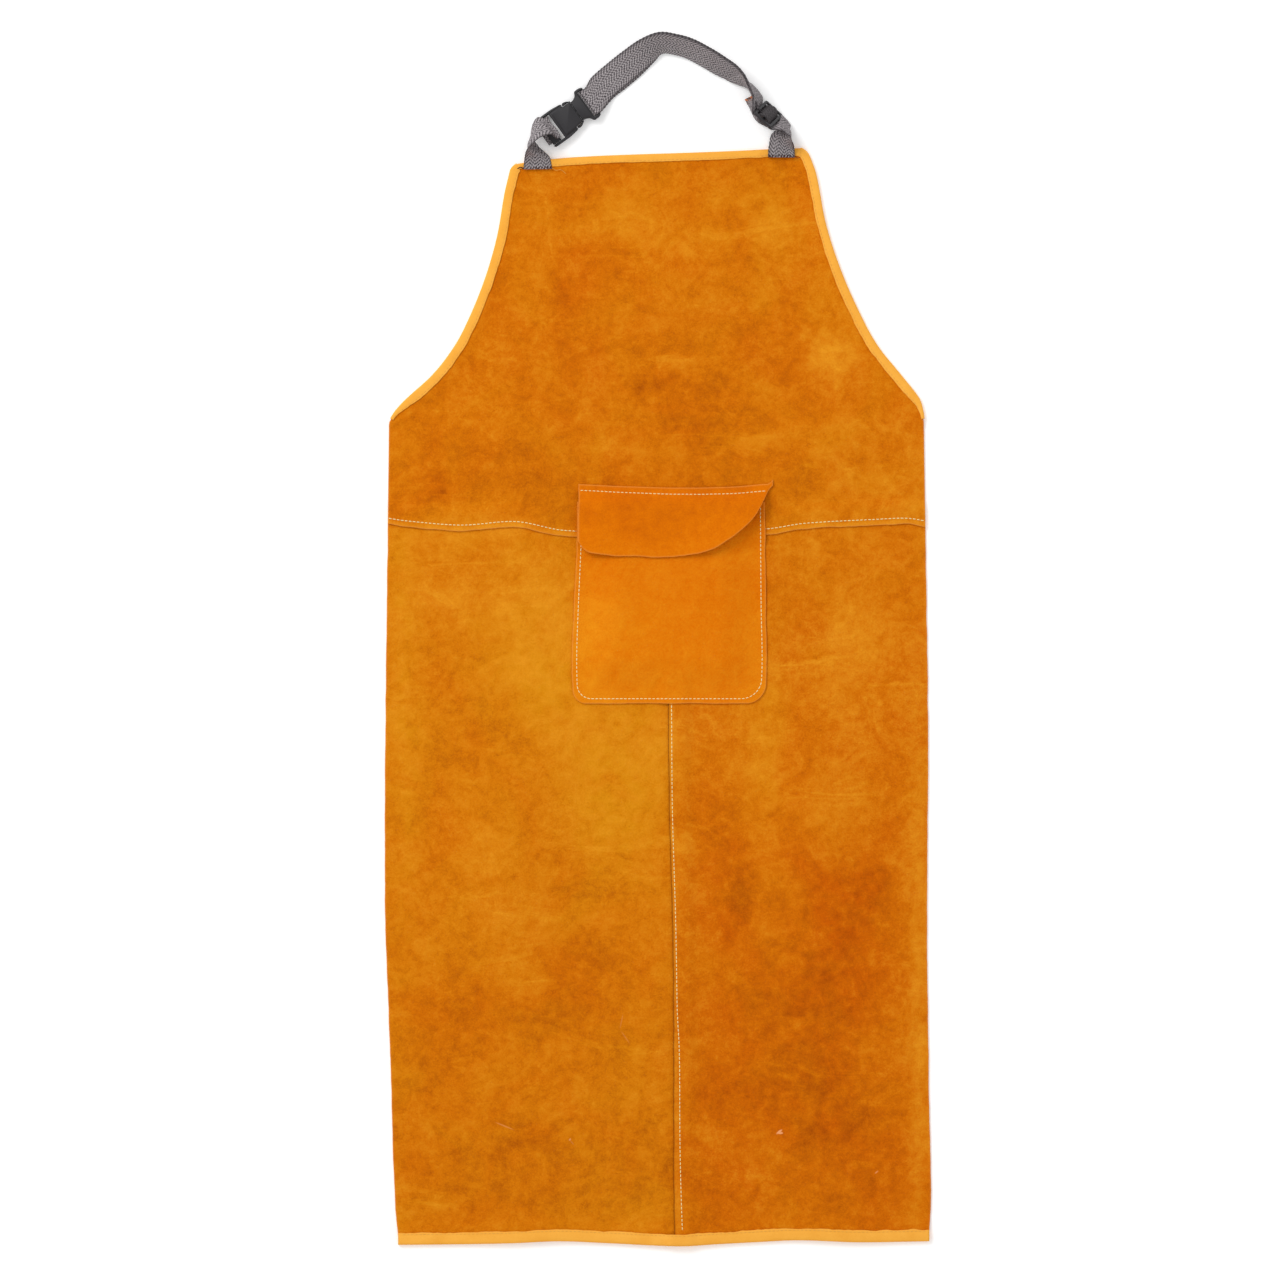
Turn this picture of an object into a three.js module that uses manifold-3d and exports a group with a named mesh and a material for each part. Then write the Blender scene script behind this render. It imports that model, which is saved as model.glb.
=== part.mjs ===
// Leather welding apron, laid flat with its front up.
// Millimetres: X runs across the apron, Y from the hem to the neck strap, Z up from the surface it lies on.

import * as THREE from 'three';
import { mergeVertices } from 'three/addons/utils/BufferGeometryUtils.js';
import Module from 'manifold-3d';

const wasm = await Module();
wasm.setup();

// Cut of the apron.
const APRON_LENGTH = 1100;
const APRON_WIDTH = 550;
const BIB_WIDTH = 294;
const ARMHOLE_HEIGHT = 828;
const WAIST_HEIGHT = 721;

// Leather, laps and the run over which a lapped sheet comes down by one layer.
const LEATHER = 1.8;
const CLEARANCE = 0.3;
const WAIST_LAP = 16;
const CENTRE_LAP = 13;
const CENTRE_SEAM_OFFSET = 16;
const LAP_MARGIN = 1;
const STEP_RUN = 12;

// Yellow leather folded over the edges. The round is a share of its thickness. The armhole binding tapers
// to a share of its width, from a share of the armhole's depth.
const BINDING = 1;
const HEM_BINDING_WIDTH = 12;
const ARMHOLE_BINDING_WIDTH = 9;
const TOP_BINDING_WIDTH = 8;
const BINDING_ROUND = 0.35;
const TAPER_SHARE = 0.35;
const TAPER_FROM = 0.82;

// Pocket and flap. The mouth lies at a share of the pocket's depth.
const POCKET_WIDTH = 195;
const POCKET_HEIGHT = 204;
const POCKET_DROP = 177;
const POCKET_OFFSET = 11.6;
const POCKET_DEPTH = 7.8;
const POCKET_RIM = 7;
const POCKET_RISE_RUN = 18;
const POCKET_CORNER = 10;
const POCKET_MOUTH_SHARE = 0.8;
const FLAP_LENGTH = 73;
const FLAP_RISE = 18;
const FLAP_HEM = 8;
const FLAP_CURL = 12;

// Webbing, with the places of its two sewn ends and the reach of the loop above the bib.
const WEBBING_WIDTH = 29;
const WEBBING = 1.5;
const WEBBING_GAP = 0.5;
const TAB_SPACING = 246;
const TAB_OFFSET = 2.3;
const STRAP_REACH = 121;
const TAB_UNDERLAP = 14;
const TAB_UNDER_LIFT = 1.2;
const STRAP_LEAD = 3;

// Side-release buckle.
const SLOT_PLAY = 0.6;
const BUCKLE_LENGTH = 57;
const BUCKLE_RAIL = 2.4;
const BUCKLE_HEIGHT = 9;
const BUCKLE_WALL = 1.8;
const BUCKLE_BAR = 4.6;
const BUCKLE_BAR_THICKNESS = 3.2;
const BUCKLE_SLOT = 6;
const BUCKLE_BEVEL = 1.2;
const BUCKLE_SIDE = 5.1;
const SOCKET_INSET = 1.2;
const PLUG_LENGTH = 16;
const PLUG_SLOT = 3.5;
const PAD_LENGTH = 8.6;
const PAD_SETBACK = 3;
const PAD_INSET = 0.6;
const TONGUE_GAP = 1;
const BUCKLE_ANGLE = 36;
const BUCKLE_ALONG = 0.125;
const BUCKLE_UP = 0.304;
const BUCKLE_LIFT = 0.4;

// Outlines of the buckle's halves: ahead and back are shares of the plug's length, inset of the rail.
const SOCKET_CORNER = [{ ahead: 0, inset: 1.25 }, { ahead: 0.16, inset: 0 }];
const SOCKET_MOUTH = [{ back: 0.56, inset: 0 }, { back: 0.19, inset: 0.5 }, { back: 0, inset: 1.67 }];
const PLUG_OUTLINE = [
  { ahead: 0,    inset: 2.42 },
  { ahead: 0.16, inset: 2.58 },
  { ahead: 0.29, inset: 1.75 },
  { ahead: 0.4,  inset: 0 },
  { ahead: 0.9,  inset: 0 },
  { ahead: 1,    inset: 0.62 },
];

// Slider with three bars and two slots, its place on the strap and how it lies.
const SLIDER_LENGTH = 23;
const SLIDER_RAIL = 2.9;
const SLIDER_THICKNESS = 2.2;
const SLIDER_BAR = 3;
const SLIDER_CORNER = 2;
const SLIDER_BEVEL = 0.5;
const SLIDER_PLAY = 0.8;
const SLIDER_PLACE = { along: 0.945, up: 0.325, high: 0.58 };
const SLIDER_HEADING = -42.2;
const SLIDER_TILT = 122;

// Low waves of the leather, as shares of the apron's width and length and of the wave height.
const WAVE_HEIGHT = 4;
const WAVES = [
  { name: 'bib',           across: 0.03,  up: 0.87, wide: 0.21, long: 0.075, high: 0.7 },
  { name: 'left armhole',  across: -0.27, up: 0.732, wide: 0.17, long: 0.062, high: 0.5 },
  { name: 'right armhole', across: 0.28,  up: 0.73, wide: 0.17, long: 0.06, high: 0.5 },
  { name: 'left skirt',    across: -0.27, up: 0.36, wide: 0.17, long: 0.2,   high: 0.9 },
  { name: 'right skirt',   across: 0.29,  up: 0.33, wide: 0.17, long: 0.21,  high: 1 },
  { name: 'middle skirt',  across: 0.01,  up: 0.24, wide: 0.15, long: 0.13,  high: 0.6 },
  { name: 'hem left',      across: -0.24, up: 0.01, wide: 0.15, long: 0.07,  high: 0.5 },
  { name: 'hem middle',    across: 0.035, up: 0.0,  wide: 0.13, long: 0.06,  high: 0.5 },
  { name: 'hem right',     across: 0.34,  up: 0.02, wide: 0.15, long: 0.07,  high: 0.5 },
];

// Side edges below the armholes: up is a share of the armhole height, left and right of the width.
const SIDES = [
  { up: 0,    left: -0.476, right: 0.499 },
  { up: 0.05, left: -0.483, right: 0.503 },
  { up: 0.2,  left: -0.49,  right: 0.499 },
  { up: 0.4,  left: -0.501, right: 0.496 },
  { up: 0.6,  left: -0.501, right: 0.498 },
  { up: 0.82, left: -0.497, right: 0.494 },
  { up: 1,    left: -0.494, right: 0.49 },
];

// Armhole edges: down is a share of the armhole depth, left and right of the spread from bib to side.
const ARMHOLES = [
  { down: 0,     left: 0,     right: 0.02 },
  { down: 0.04,  left: 0.02,  right: 0.06 },
  { down: 0.1,   left: 0.05,  right: 0.105 },
  { down: 0.28,  left: 0.115, right: 0.185 },
  { down: 0.46,  left: 0.226, right: 0.32 },
  { down: 0.64,  left: 0.385, right: 0.505 },
  { down: 0.73,  left: 0.496, right: 0.625 },
  { down: 0.82,  left: 0.647, right: 0.79 },
  { down: 0.91,  left: 0.853, right: 0.95 },
  { down: 0.955, left: 0.94,  right: 0.985 },
  { down: 1,     left: 1,     right: 1 },
];

// Top edge of the bib: across is a share of the bib's width, rise of its tilt.
const TOP_TILT = 12;
const TOP_LINE = [
  { across: -0.5,  rise: -1 },
  { across: -0.4,  rise: -0.62 },
  { across: -0.27, rise: -0.35 },
  { across: -0.1,  rise: -0.16 },
  { across: 0.1,   rise: 0 },
  { across: 0.28,  rise: 0.17 },
  { across: 0.4,   rise: 0.32 },
  { across: 0.5,   rise: 0.4 },
];

// Lower edge of the upper panel: across is a share of the width, rise of the lap.
const WAIST_LINE = [
  { across: -0.5,  rise: 0.3 },
  { across: -0.46, rise: 0.1 },
  { across: -0.36, rise: -0.16 },
  { across: -0.26, rise: 0.06 },
  { across: -0.17, rise: -0.5 },
  { across: 0.02,  rise: -0.6 },
  { across: 0.2,   rise: -0.4 },
  { across: 0.27,  rise: -0.05 },
  { across: 0.4,   rise: 0.2 },
  { across: 0.46,  rise: 0.27 },
  { across: 0.5,   rise: 0.05 },
];

// Hem edge: across is a share of the width, drop of the hem's wave.
const HEM_WAVE = 4;
const HEM_LINE = [
  { across: -0.5,  drop: 0.7 },
  { across: -0.36, drop: 0.5 },
  { across: -0.27, drop: 0.25 },
  { across: -0.18, drop: -0.25 },
  { across: -0.09, drop: 0.25 },
  { across: 0.04,  drop: 1 },
  { across: 0.11,  drop: 0.5 },
  { across: 0.18,  drop: 0 },
  { across: 0.26,  drop: -0.5 },
  { across: 0.37,  drop: 0 },
  { across: 0.5,   drop: -0.25 },
];

// Cut edge of the right lower panel over the left one: up is a share of the waist height.
const CENTRE_LINE = [
  { up: 0,    left: 1.07 },
  { up: 0.12, left: 1 },
  { up: 0.42, left: 0.97 },
  { up: 0.63, left: 0.73 },
  { up: 1.1,  left: 0.6 },
];

// Pocket sides: up is a share of the pocket's height, left and right of its width.
const POCKET_SIDES = [
  { up: 0,    left: -0.499, right: 0.502 },
  { up: 0.2,  left: -0.503, right: 0.508 },
  { up: 0.45, left: -0.495, right: 0.503 },
  { up: 0.8,  left: -0.479, right: 0.5 },
  { up: 1,    left: -0.476, right: 0.498 },
];

// Flap outline: across is a share of the pocket's width, long of the flap's length, sag of its hem.
const FLAP_LINE = [
  { across: -0.47, long: 0.79,  sag: 0 },
  { across: -0.44, long: 0.9,   sag: 0.05 },
  { across: -0.39, long: 0.95,  sag: 0.1 },
  { across: -0.27, long: 0.97,  sag: 0.25 },
  { across: -0.14, long: 0.97,  sag: 0.35 },
  { across: 0,     long: 0.97,  sag: 0.45 },
  { across: 0.08,  long: 0.94,  sag: 0.45 },
  { across: 0.16,  long: 0.91,  sag: 0.45 },
  { across: 0.24,  long: 0.84,  sag: 0.4 },
  { across: 0.31,  long: 0.73,  sag: 0.35 },
  { across: 0.38,  long: 0.6,   sag: 0.25 },
  { across: 0.445, long: 0.44,  sag: 0.1 },
  { across: 0.49,  long: 0.24,  sag: 0 },
  { across: 0.515, long: 0.1,   sag: 0 },
  { across: 0.54,  long: 0.03,  sag: -0.1 },
];

// Neck strap from the buckle to the slider. along is a share of the tab spacing from the left tab, up of
// the reach above the bib, high of the webbing's width, tilt the degrees by which its outer edge stands up.
const STRAP_LINE = [
  { along: 0.263, up: 0.558, high: 0.16, tilt: 4 },
  { along: 0.32,  up: 0.658, high: 0.19, tilt: 9 },
  { along: 0.382, up: 0.758, high: 0.26, tilt: 17 },
  { along: 0.448, up: 0.858, high: 0.36, tilt: 31 },
  { along: 0.505, up: 0.917, high: 0.46, tilt: 47 },
  { along: 0.567, up: 0.902, high: 0.5,  tilt: 51 },
  { along: 0.624, up: 0.867, high: 0.5,  tilt: 51 },
  { along: 0.694, up: 0.792, high: 0.5,  tilt: 51 },
  { along: 0.756, up: 0.722, high: 0.52, tilt: 54 },
  { along: 0.805, up: 0.682, high: 0.56, tilt: 68 },
  { along: 0.843, up: 0.63,  high: 0.6,  tilt: 90 },
  { along: 0.873, up: 0.565, high: 0.58, tilt: 102 },
  { along: 0.9,   up: 0.475, high: 0.55, tilt: 110 },
];

// Right tab from the slider down to the bib, in the same shares.
const RIGHT_TAB_LINE = [
  { along: 0.993, up: 0.205, high: 0.5,  tilt: 138 },
  { along: 1.012, up: 0.145, high: 0.4,  tilt: 150 },
  { along: 1.012, up: 0.09,  high: 0.3,  tilt: 166 },
  { along: 1.003, up: 0.04,  high: 0.26, tilt: 179 },
  { along: 1,     up: -0.03, high: 0.24, tilt: 180 },
];
const RIGHT_TAB_END = { along: 1, up: -0.117, high: 0.24 };

// Return layer of the strap from where it leaves the outer layer to its free end beside the slider.
const RETURN_LINE = [
  { along: 0.79,  up: 0.635, high: 0.5,  tilt: 60 },
  { along: 0.832, up: 0.555, high: 0.5,  tilt: 72 },
  { along: 0.862, up: 0.455, high: 0.56, tilt: 84 },
  { along: 0.878, up: 0.36,  high: 0.56, tilt: 88 },
];
const FREE_END_AIM = { along: 0.9, up: 0.2, high: 0.5 };

// Left tab from the bib to the buckle bar: across is the plan angle of its width, tilt its right edge's rise.
const LEFT_TAB_LINE = [
  { along: 0,      up: -0.117, high: 0.24, across: 0,   tilt: 0 },
  { along: -0.002, up: 0.0,    high: 0.24, across: 2,   tilt: 0 },
  { along: -0.012, up: 0.04,   high: 0.4,  across: 16,  tilt: -40 },
  { along: -0.021, up: 0.075,  high: 0.55, across: 60,  tilt: -74 },
  { along: -0.014, up: 0.115,  high: 0.53, across: 165, tilt: -62 },
];

// The tab comes down on to the buckle bar with its right edge low: back and high are shares of the bar's width.
const TAB_APPROACH = [
  { back: 1.85, high: 0.41, tilt: -22 },
  { back: 0.87, high: 0.13, tilt: -5 },
];

// Rise of the flap over the mouth: above is a share of the flap's rise, share of its full height, limit the
// least share of the way from its top to its hem.
const FLAP_BEND = [
  { above: 0.61,  limit: 0.2, share: 0 },
  { above: 0.05,  limit: 0.4, share: 0.83 },
  { above: -0.61, limit: 0.6, share: 1 },
];

// Where the flap lies low at its left edge, and where it curls up towards its right one.
const FLAP_LOW_EDGE = { from: -0.47, to: -0.36, share: 0.7 };
const FLAP_CURL_RUN = { from: 0, to: 0.42, power: 1.2 };

const DEGREE = Math.PI / 180;
const LAYER = LEATHER + CLEARANCE;
const BOUND_LIFT = BINDING + CLEARANCE;
const ARMHOLE_DEPTH = APRON_LENGTH - ARMHOLE_HEIGHT;

// Smooth curve through the rows of a table, by one of its columns.
function along(rows, key, value, at) {
  const last = rows.length - 1;
  if (at <= rows[0][key]) {
    return rows[0][value];
  }
  if (at >= rows[last][key]) {
    return rows[last][value];
  }
  const i = rows.findIndex((row) => row[key] > at) - 1;
  const slope = (a, b) => (rows[b][value] - rows[a][value]) / (rows[b][key] - rows[a][key]);
  const span = rows[i + 1][key] - rows[i][key];
  const start = i > 0 ? slope(i - 1, i + 1) : slope(i, i + 1);
  const end = i + 1 < last ? slope(i, i + 2) : slope(i, i + 1);
  const t = (at - rows[i][key]) / span;
  const s = 1 - t;
  const ends = rows[i][value] * s * s * (1 + 2 * t) + rows[i + 1][value] * t * t * (3 - 2 * t);
  return ends + span * (start * t * s * s - end * t * t * s);
}

function ramp(value, from, to) {
  return THREE.MathUtils.clamp((value - from) / (to - from), 0, 1);
}

function lerp(a, b, t) {
  return a + (b - a) * t;
}

function spread(from, to, count) {
  return Array.from({ length: count + 1 }, (_, i) => lerp(from, to, i / count));
}

// Height of the leather above the surface where nothing lies under it.
function ground(x, y) {
  let height = 0;
  for (const wave of WAVES) {
    const across = (x / APRON_WIDTH - wave.across) / wave.wide;
    const up = (y / APRON_LENGTH - wave.up) / wave.long;
    const reach = Math.min(Math.hypot(across, up), 1);
    height += WAVE_HEIGHT * wave.high * (1 + Math.cos(Math.PI * reach)) / 2;
  }
  return height;
}

// Outline of the apron.
function sideX(y, side) {
  const sign = side === 'left' ? -1 : 1;
  const shoulder = APRON_WIDTH * along(SIDES, 'up', side, 1);
  if (y <= ARMHOLE_HEIGHT) {
    return APRON_WIDTH * along(SIDES, 'up', side, y / ARMHOLE_HEIGHT);
  }
  const bib = sign * BIB_WIDTH / 2;
  return lerp(bib, shoulder, along(ARMHOLES, 'down', side, (APRON_LENGTH - y) / ARMHOLE_DEPTH));
}

const topRise = (x) => TOP_TILT * along(TOP_LINE, 'across', 'rise', x / BIB_WIDTH);
const waistRise = (x) => WAIST_LAP * along(WAIST_LINE, 'across', 'rise', x / APRON_WIDTH);
const waistY = (x) => WAIST_HEIGHT + waistRise(x);
const hemY = (x) => -HEM_WAVE * along(HEM_LINE, 'across', 'drop', x / APRON_WIDTH);
const centreX = (y) => CENTRE_SEAM_OFFSET * along(CENTRE_LINE, 'up', 'left', y / WAIST_HEIGHT);

// Extra layers under a sheet that crosses the centre seam or the waist seam, from 0 to 1.
function centreLayer(x, y) {
  const left = centreX(y) - LAP_MARGIN;
  const right = centreX(y) + CENTRE_LAP + LAP_MARGIN;
  return ramp(x, left - STEP_RUN, left) * (1 - ramp(x, right, right + STEP_RUN));
}

const lapTop = (x) => waistY(x) + WAIST_LAP + LAP_MARGIN;
const aboveWaist = (x, y) => ramp(y, lapTop(x), lapTop(x) + STEP_RUN);
const belowWaist = (x, y) => ramp(waistY(x) - LAP_MARGIN - y, 0, STEP_RUN);

// Height of the top face of everything that the pocket lies on.
function coverTop(x, y) {
  const waist = (1 - aboveWaist(x, y)) * (1 - belowWaist(x, y));
  const centre = centreLayer(x, y) * (1 - aboveWaist(x, y));
  return ground(x, y) + LEATHER + LAYER * (waist + centre);
}

// Closed mesh from shared points and faces.
function solid(points, faces) {
  const geometry = new THREE.BufferGeometry();
  geometry.setAttribute('position', new THREE.Float32BufferAttribute(points.flatMap((p) => p.toArray()), 3));
  geometry.setIndex(faces.flat());
  const shape = geometry.toNonIndexed();
  shape.computeVertexNormals();
  return shape;
}

// Sheet over a grid: under(column, row) is a point of its lower face.
function sheet(columns, rows, under, thickness) {
  const points = [];
  const low = (c, r) => c * rows + r;
  const high = (c, r) => columns * rows + low(c, r);
  for (let c = 0; c < columns; c += 1) {
    for (let r = 0; r < rows; r += 1) {
      points[low(c, r)] = under(c, r);
      points[high(c, r)] = under(c, r).add(new THREE.Vector3(0, 0, thickness));
    }
  }
  const faces = [];
  const quad = (a, b, c, d) => faces.push([a, b, c], [a, c, d]);
  for (let c = 0; c + 1 < columns; c += 1) {
    for (let r = 0; r + 1 < rows; r += 1) {
      quad(high(c, r), high(c + 1, r), high(c + 1, r + 1), high(c, r + 1));
      faces.push([low(c, r), low(c + 1, r + 1), low(c + 1, r)]);
      faces.push([low(c, r), low(c, r + 1), low(c + 1, r + 1)]);
    }
  }
  const wall = (a, b) => quad(low(...a), low(...b), high(...b), high(...a));
  for (let c = 0; c + 1 < columns; c += 1) {
    wall([c, 0], [c + 1, 0]);
    wall([c + 1, rows - 1], [c, rows - 1]);
  }
  for (let r = 0; r + 1 < rows; r += 1) {
    wall([0, r + 1], [0, r]);
    wall([columns - 1, r], [columns - 1, r + 1]);
  }
  return solid(points, faces);
}

// Solid through rings of points, closed at both ends by the ring's flat outline.
function loft(rings, outline) {
  const size = outline.length;
  const faces = [];
  for (let i = 0; i + 1 < rings.length; i += 1) {
    for (let k = 0; k < size; k += 1) {
      const a = i * size + k;
      const b = i * size + (k + 1) % size;
      faces.push([a, b + size, b], [a, a + size, b + size]);
    }
  }
  const end = (rings.length - 1) * size;
  for (const [a, b, c] of THREE.ShapeUtils.triangulateShape(outline, [])) {
    faces.push([a, b, c], [end + a, end + c, end + b]);
  }
  return solid(rings.flat(), faces);
}

// Upper panel: bib and waist in one piece.
const boundWidth = (width) => width + LAP_MARGIN;

// Width of the armhole binding across the panel, which grows from its tapered lower end.
function armholeBand(y) {
  const down = (APRON_LENGTH - y) / ARMHOLE_DEPTH;
  return ARMHOLE_BINDING_WIDTH * lerp(TAPER_SHARE, 1, ramp(down, 1, TAPER_FROM));
}

const topBand = boundWidth(TOP_BINDING_WIDTH);

// Rows of the upper panel: waist is how far a row follows the waist line, top how far the top line.
const ARMHOLE_CORNER = 0.36;
const CORNER_SPANS = 8;
const BIB_SPANS = 6;
const WAIST_FADE = [0.5, 0.2, 0];
const cornerTop = ARMHOLE_HEIGHT + ARMHOLE_CORNER * ARMHOLE_DEPTH;
const bibTop = APRON_LENGTH - topBand - STEP_RUN;
const plainRow = (y) => ({ y, waist: 0, lap: 0 });
const UPPER_ROWS = [
  { y: WAIST_HEIGHT, waist: 1, lap: 0 },
  { y: WAIST_HEIGHT, waist: 1, lap: WAIST_LAP + LAP_MARGIN },
  { y: WAIST_HEIGHT, waist: 1, lap: WAIST_LAP + LAP_MARGIN + STEP_RUN },
  ...spread((WAIST_HEIGHT + ARMHOLE_HEIGHT) / 2, ARMHOLE_HEIGHT, WAIST_FADE.length - 1)
    .map((y, i) => ({ y, waist: WAIST_FADE[i], lap: 0 })),
  ...spread(ARMHOLE_HEIGHT, cornerTop, CORNER_SPANS).slice(1).map(plainRow),
  ...spread(cornerTop, bibTop, BIB_SPANS).slice(1, -1).map(plainRow),
  { y: bibTop, waist: 0, lap: 0, top: 1 },
  { y: APRON_LENGTH - topBand, waist: 0, lap: 0, top: 1 },
  { y: APRON_LENGTH, waist: 0, lap: 0, top: 1 },
];
const UPPER_SPANS = 6;

// Columns across the upper panel at one height: bound edges, plain spans and the steps of the centre seam.
function upperColumns(y) {
  const left = sideX(y, 'left');
  const right = sideX(y, 'right');
  const band = boundWidth(armholeBand(Math.max(y, ARMHOLE_HEIGHT)));
  const seam = [centreX(y) - LAP_MARGIN, centreX(y) + CENTRE_LAP + LAP_MARGIN];
  return [
    left,
    left + band,
    ...spread(left + band + STEP_RUN, seam[0] - STEP_RUN, UPPER_SPANS),
    ...seam,
    ...spread(seam[1] + STEP_RUN, right - band - STEP_RUN, UPPER_SPANS),
    right - band,
    right,
  ];
}

const UPPER_COUNT = upperColumns(0).length;

// Lift of the panel's bound edges off the surface, so that the binding fits under them.
function upperLift(column, row) {
  const y = UPPER_ROWS[row].y;
  const side = column < 2 || column > UPPER_COUNT - 3;
  const top = row > UPPER_ROWS.length - 3;
  return (side && y >= ARMHOLE_HEIGHT) || top ? BOUND_LIFT : 0;
}

function upperUnder(column, row) {
  const { y: height, waist, lap, top = 0 } = UPPER_ROWS[row];
  const x = upperColumns(height)[column];
  const blend = top || Math.max(0, ramp(height, ARMHOLE_HEIGHT, APRON_LENGTH));
  const y = height + lap + waist * waistRise(x) + blend * topRise(x);
  const layers = row < 2 ? 1 + centreLayer(x, height) : 0;
  return new THREE.Vector3(x, y, ground(x, y) + LAYER * layers + upperLift(column, row));
}

const upperPanel = sheet(UPPER_COUNT, UPPER_ROWS.length, upperUnder, LEATHER);

// Lower panels: rows from the hem up to the hidden top edge under the lap.
const hemBand = boundWidth(HEM_BINDING_WIDTH);
const LOWER_ROWS = 24;
const LOWER_SPANS = 9;

function lowerY(row, x) {
  const top = waistY(x) + WAIST_LAP;
  const hem = hemY(x);
  if (row === 0) {
    return hem;
  }
  if (row === 1) {
    return hem + hemBand;
  }
  return lerp(hem + hemBand + STEP_RUN, top, (row - 2) / (LOWER_ROWS - 3));
}

const lowerLift = (row) => (row < 2 ? BOUND_LIFT : 0);

function leftColumns(y) {
  const seam = centreX(y);
  const step = seam - LAP_MARGIN;
  return [...spread(sideX(y, 'left'), step - STEP_RUN, LOWER_SPANS), step, seam + CENTRE_LAP];
}

function rightColumns(y) {
  const seam = centreX(y);
  const step = seam + CENTRE_LAP + LAP_MARGIN;
  return [seam, step, ...spread(step + STEP_RUN, sideX(y, 'right'), LOWER_SPANS)];
}

const LEFT_COUNT = leftColumns(0).length;
const RIGHT_COUNT = rightColumns(0).length;

// Place on a lower panel: the columns bend with the side edge and the seam, the rows with hem and waist.
function lowerPlace(columns, column, row) {
  const height = WAIST_HEIGHT * Math.max(0, row - 1) / (LOWER_ROWS - 2);
  const x = columns(height)[column];
  return { x, y: lowerY(row, x) };
}

function leftUnder(column, row) {
  const { x, y } = lowerPlace(leftColumns, column, row);
  return new THREE.Vector3(x, y, ground(x, y) + lowerLift(row));
}

function rightUnder(column, row) {
  const { x, y } = lowerPlace(rightColumns, column, row);
  const layer = column < 2 ? LAYER : 0;
  return new THREE.Vector3(x, y, ground(x, y) + layer + lowerLift(row));
}

const lowerLeftPanel = sheet(LEFT_COUNT, LOWER_ROWS, leftUnder, LEATHER);
const lowerRightPanel = sheet(RIGHT_COUNT, LOWER_ROWS, rightUnder, LEATHER);

// Binding round an edge. A station has the edge, the inner end of the fold and the way out, with the
// heights of the leather's lower and upper face there.
const BINDING_OUTLINE = [
  [0, 0], [0, -1], [1, -1], [1.6, -0.6], [1.6, 1.6], [1, 2], [0, 2], [0, 1], [1, 1], [1, 0],
].map(([h, v]) => new THREE.Vector2(h, v));

function bindingRing({ edge, inner, out }) {
  const ring = [];
  const place = (base, reach, z) => {
    ring.push(new THREE.Vector3(base.x + out.x * reach, base.y + out.y * reach, z));
  };
  const bottom = edge.low - CLEARANCE;
  const top = edge.high + CLEARANCE;
  const round = BINDING_ROUND * BINDING;
  place(inner, 0, inner.low - CLEARANCE);
  place(inner, 0, inner.low - BOUND_LIFT);
  place(edge, CLEARANCE, bottom - BINDING);
  place(edge, BOUND_LIFT, bottom - BINDING + round);
  place(edge, BOUND_LIFT, top + BINDING - round);
  place(edge, CLEARANCE, top + BINDING);
  place(inner, 0, inner.high + BOUND_LIFT);
  place(inner, 0, inner.high + CLEARANCE);
  place(edge, CLEARANCE, top);
  place(edge, CLEARANCE, bottom);
  return ring;
}

// Point of a panel's faces between two of its grid points.
function between(a, b, t) {
  const low = lerp(a.z, b.z, t);
  return { x: lerp(a.x, b.x, t), y: lerp(a.y, b.y, t), low, high: low + LEATHER };
}

// Hem binding: over the left panel, up on to the lap and over the right panel.
const hemShare = HEM_BINDING_WIDTH / hemBand;
const hemStations = [];
for (let c = 0; c < LEFT_COUNT - 1; c += 1) {
  const edge = between(leftUnder(c, 0), leftUnder(c, 1), 0);
  const inner = between(leftUnder(c, 0), leftUnder(c, 1), hemShare);
  hemStations.push({ edge, inner });
}
const lastLeft = hemStations[hemStations.length - 1];
lastLeft.edge.high += LAYER;
lastLeft.inner.high += LAYER;
for (let c = 0; c < RIGHT_COUNT; c += 1) {
  const edge = between(rightUnder(c, 0), rightUnder(c, 1), 0);
  const inner = between(rightUnder(c, 0), rightUnder(c, 1), hemShare);
  const under = c < 2 ? LAYER : 0;
  edge.low -= under;
  inner.low -= under;
  hemStations.push({ edge, inner });
}
const hemBinding = loft(
  hemStations.map((station) => bindingRing({ ...station, out: { x: 0, y: -1 } })),
  BINDING_OUTLINE,
);

// Armhole bindings, from their tapered lower end to the top corner of the bib.
function armholeBinding(side) {
  const stations = [];
  const [edgeColumn, innerColumn] = side === 'left' ? [0, 1] : [UPPER_COUNT - 1, UPPER_COUNT - 2];
  for (let row = 0; row < UPPER_ROWS.length; row += 1) {
    const { y } = UPPER_ROWS[row];
    if (y > ARMHOLE_HEIGHT) {
      const band = armholeBand(y);
      const edge = between(upperUnder(edgeColumn, row), upperUnder(innerColumn, row), 0);
      const inner = between(upperUnder(edgeColumn, row), upperUnder(innerColumn, row), band / boundWidth(band));
      stations.push({ edge, inner, out: { x: side === 'left' ? -1 : 1, y: 0 } });
    }
  }
  const rings = stations.map(bindingRing);
  return loft(side === 'left' ? rings.reverse() : rings, BINDING_OUTLINE);
}

const leftArmholeBinding = armholeBinding('left');
const rightArmholeBinding = armholeBinding('right');

// Top binding, between the two armhole bindings.
const topShare = TOP_BINDING_WIDTH / topBand;
const topRow = UPPER_ROWS.length - 1;
const topStations = [];
for (let c = 1; c < UPPER_COUNT - 1; c += 1) {
  const edge = between(upperUnder(c, topRow), upperUnder(c, topRow - 1), 0);
  const inner = between(upperUnder(c, topRow), upperUnder(c, topRow - 1), topShare);
  topStations.push({ edge, inner, out: { x: 0, y: 1 } });
}
const topBinding = loft(topStations.map(bindingRing).reverse(), BINDING_OUTLINE);

// Pocket: a patch that swells off the panels, open along its upper edge.
const pocketBottom = WAIST_HEIGHT - POCKET_DROP;
const pocketMouth = pocketBottom + POCKET_HEIGHT;

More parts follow.
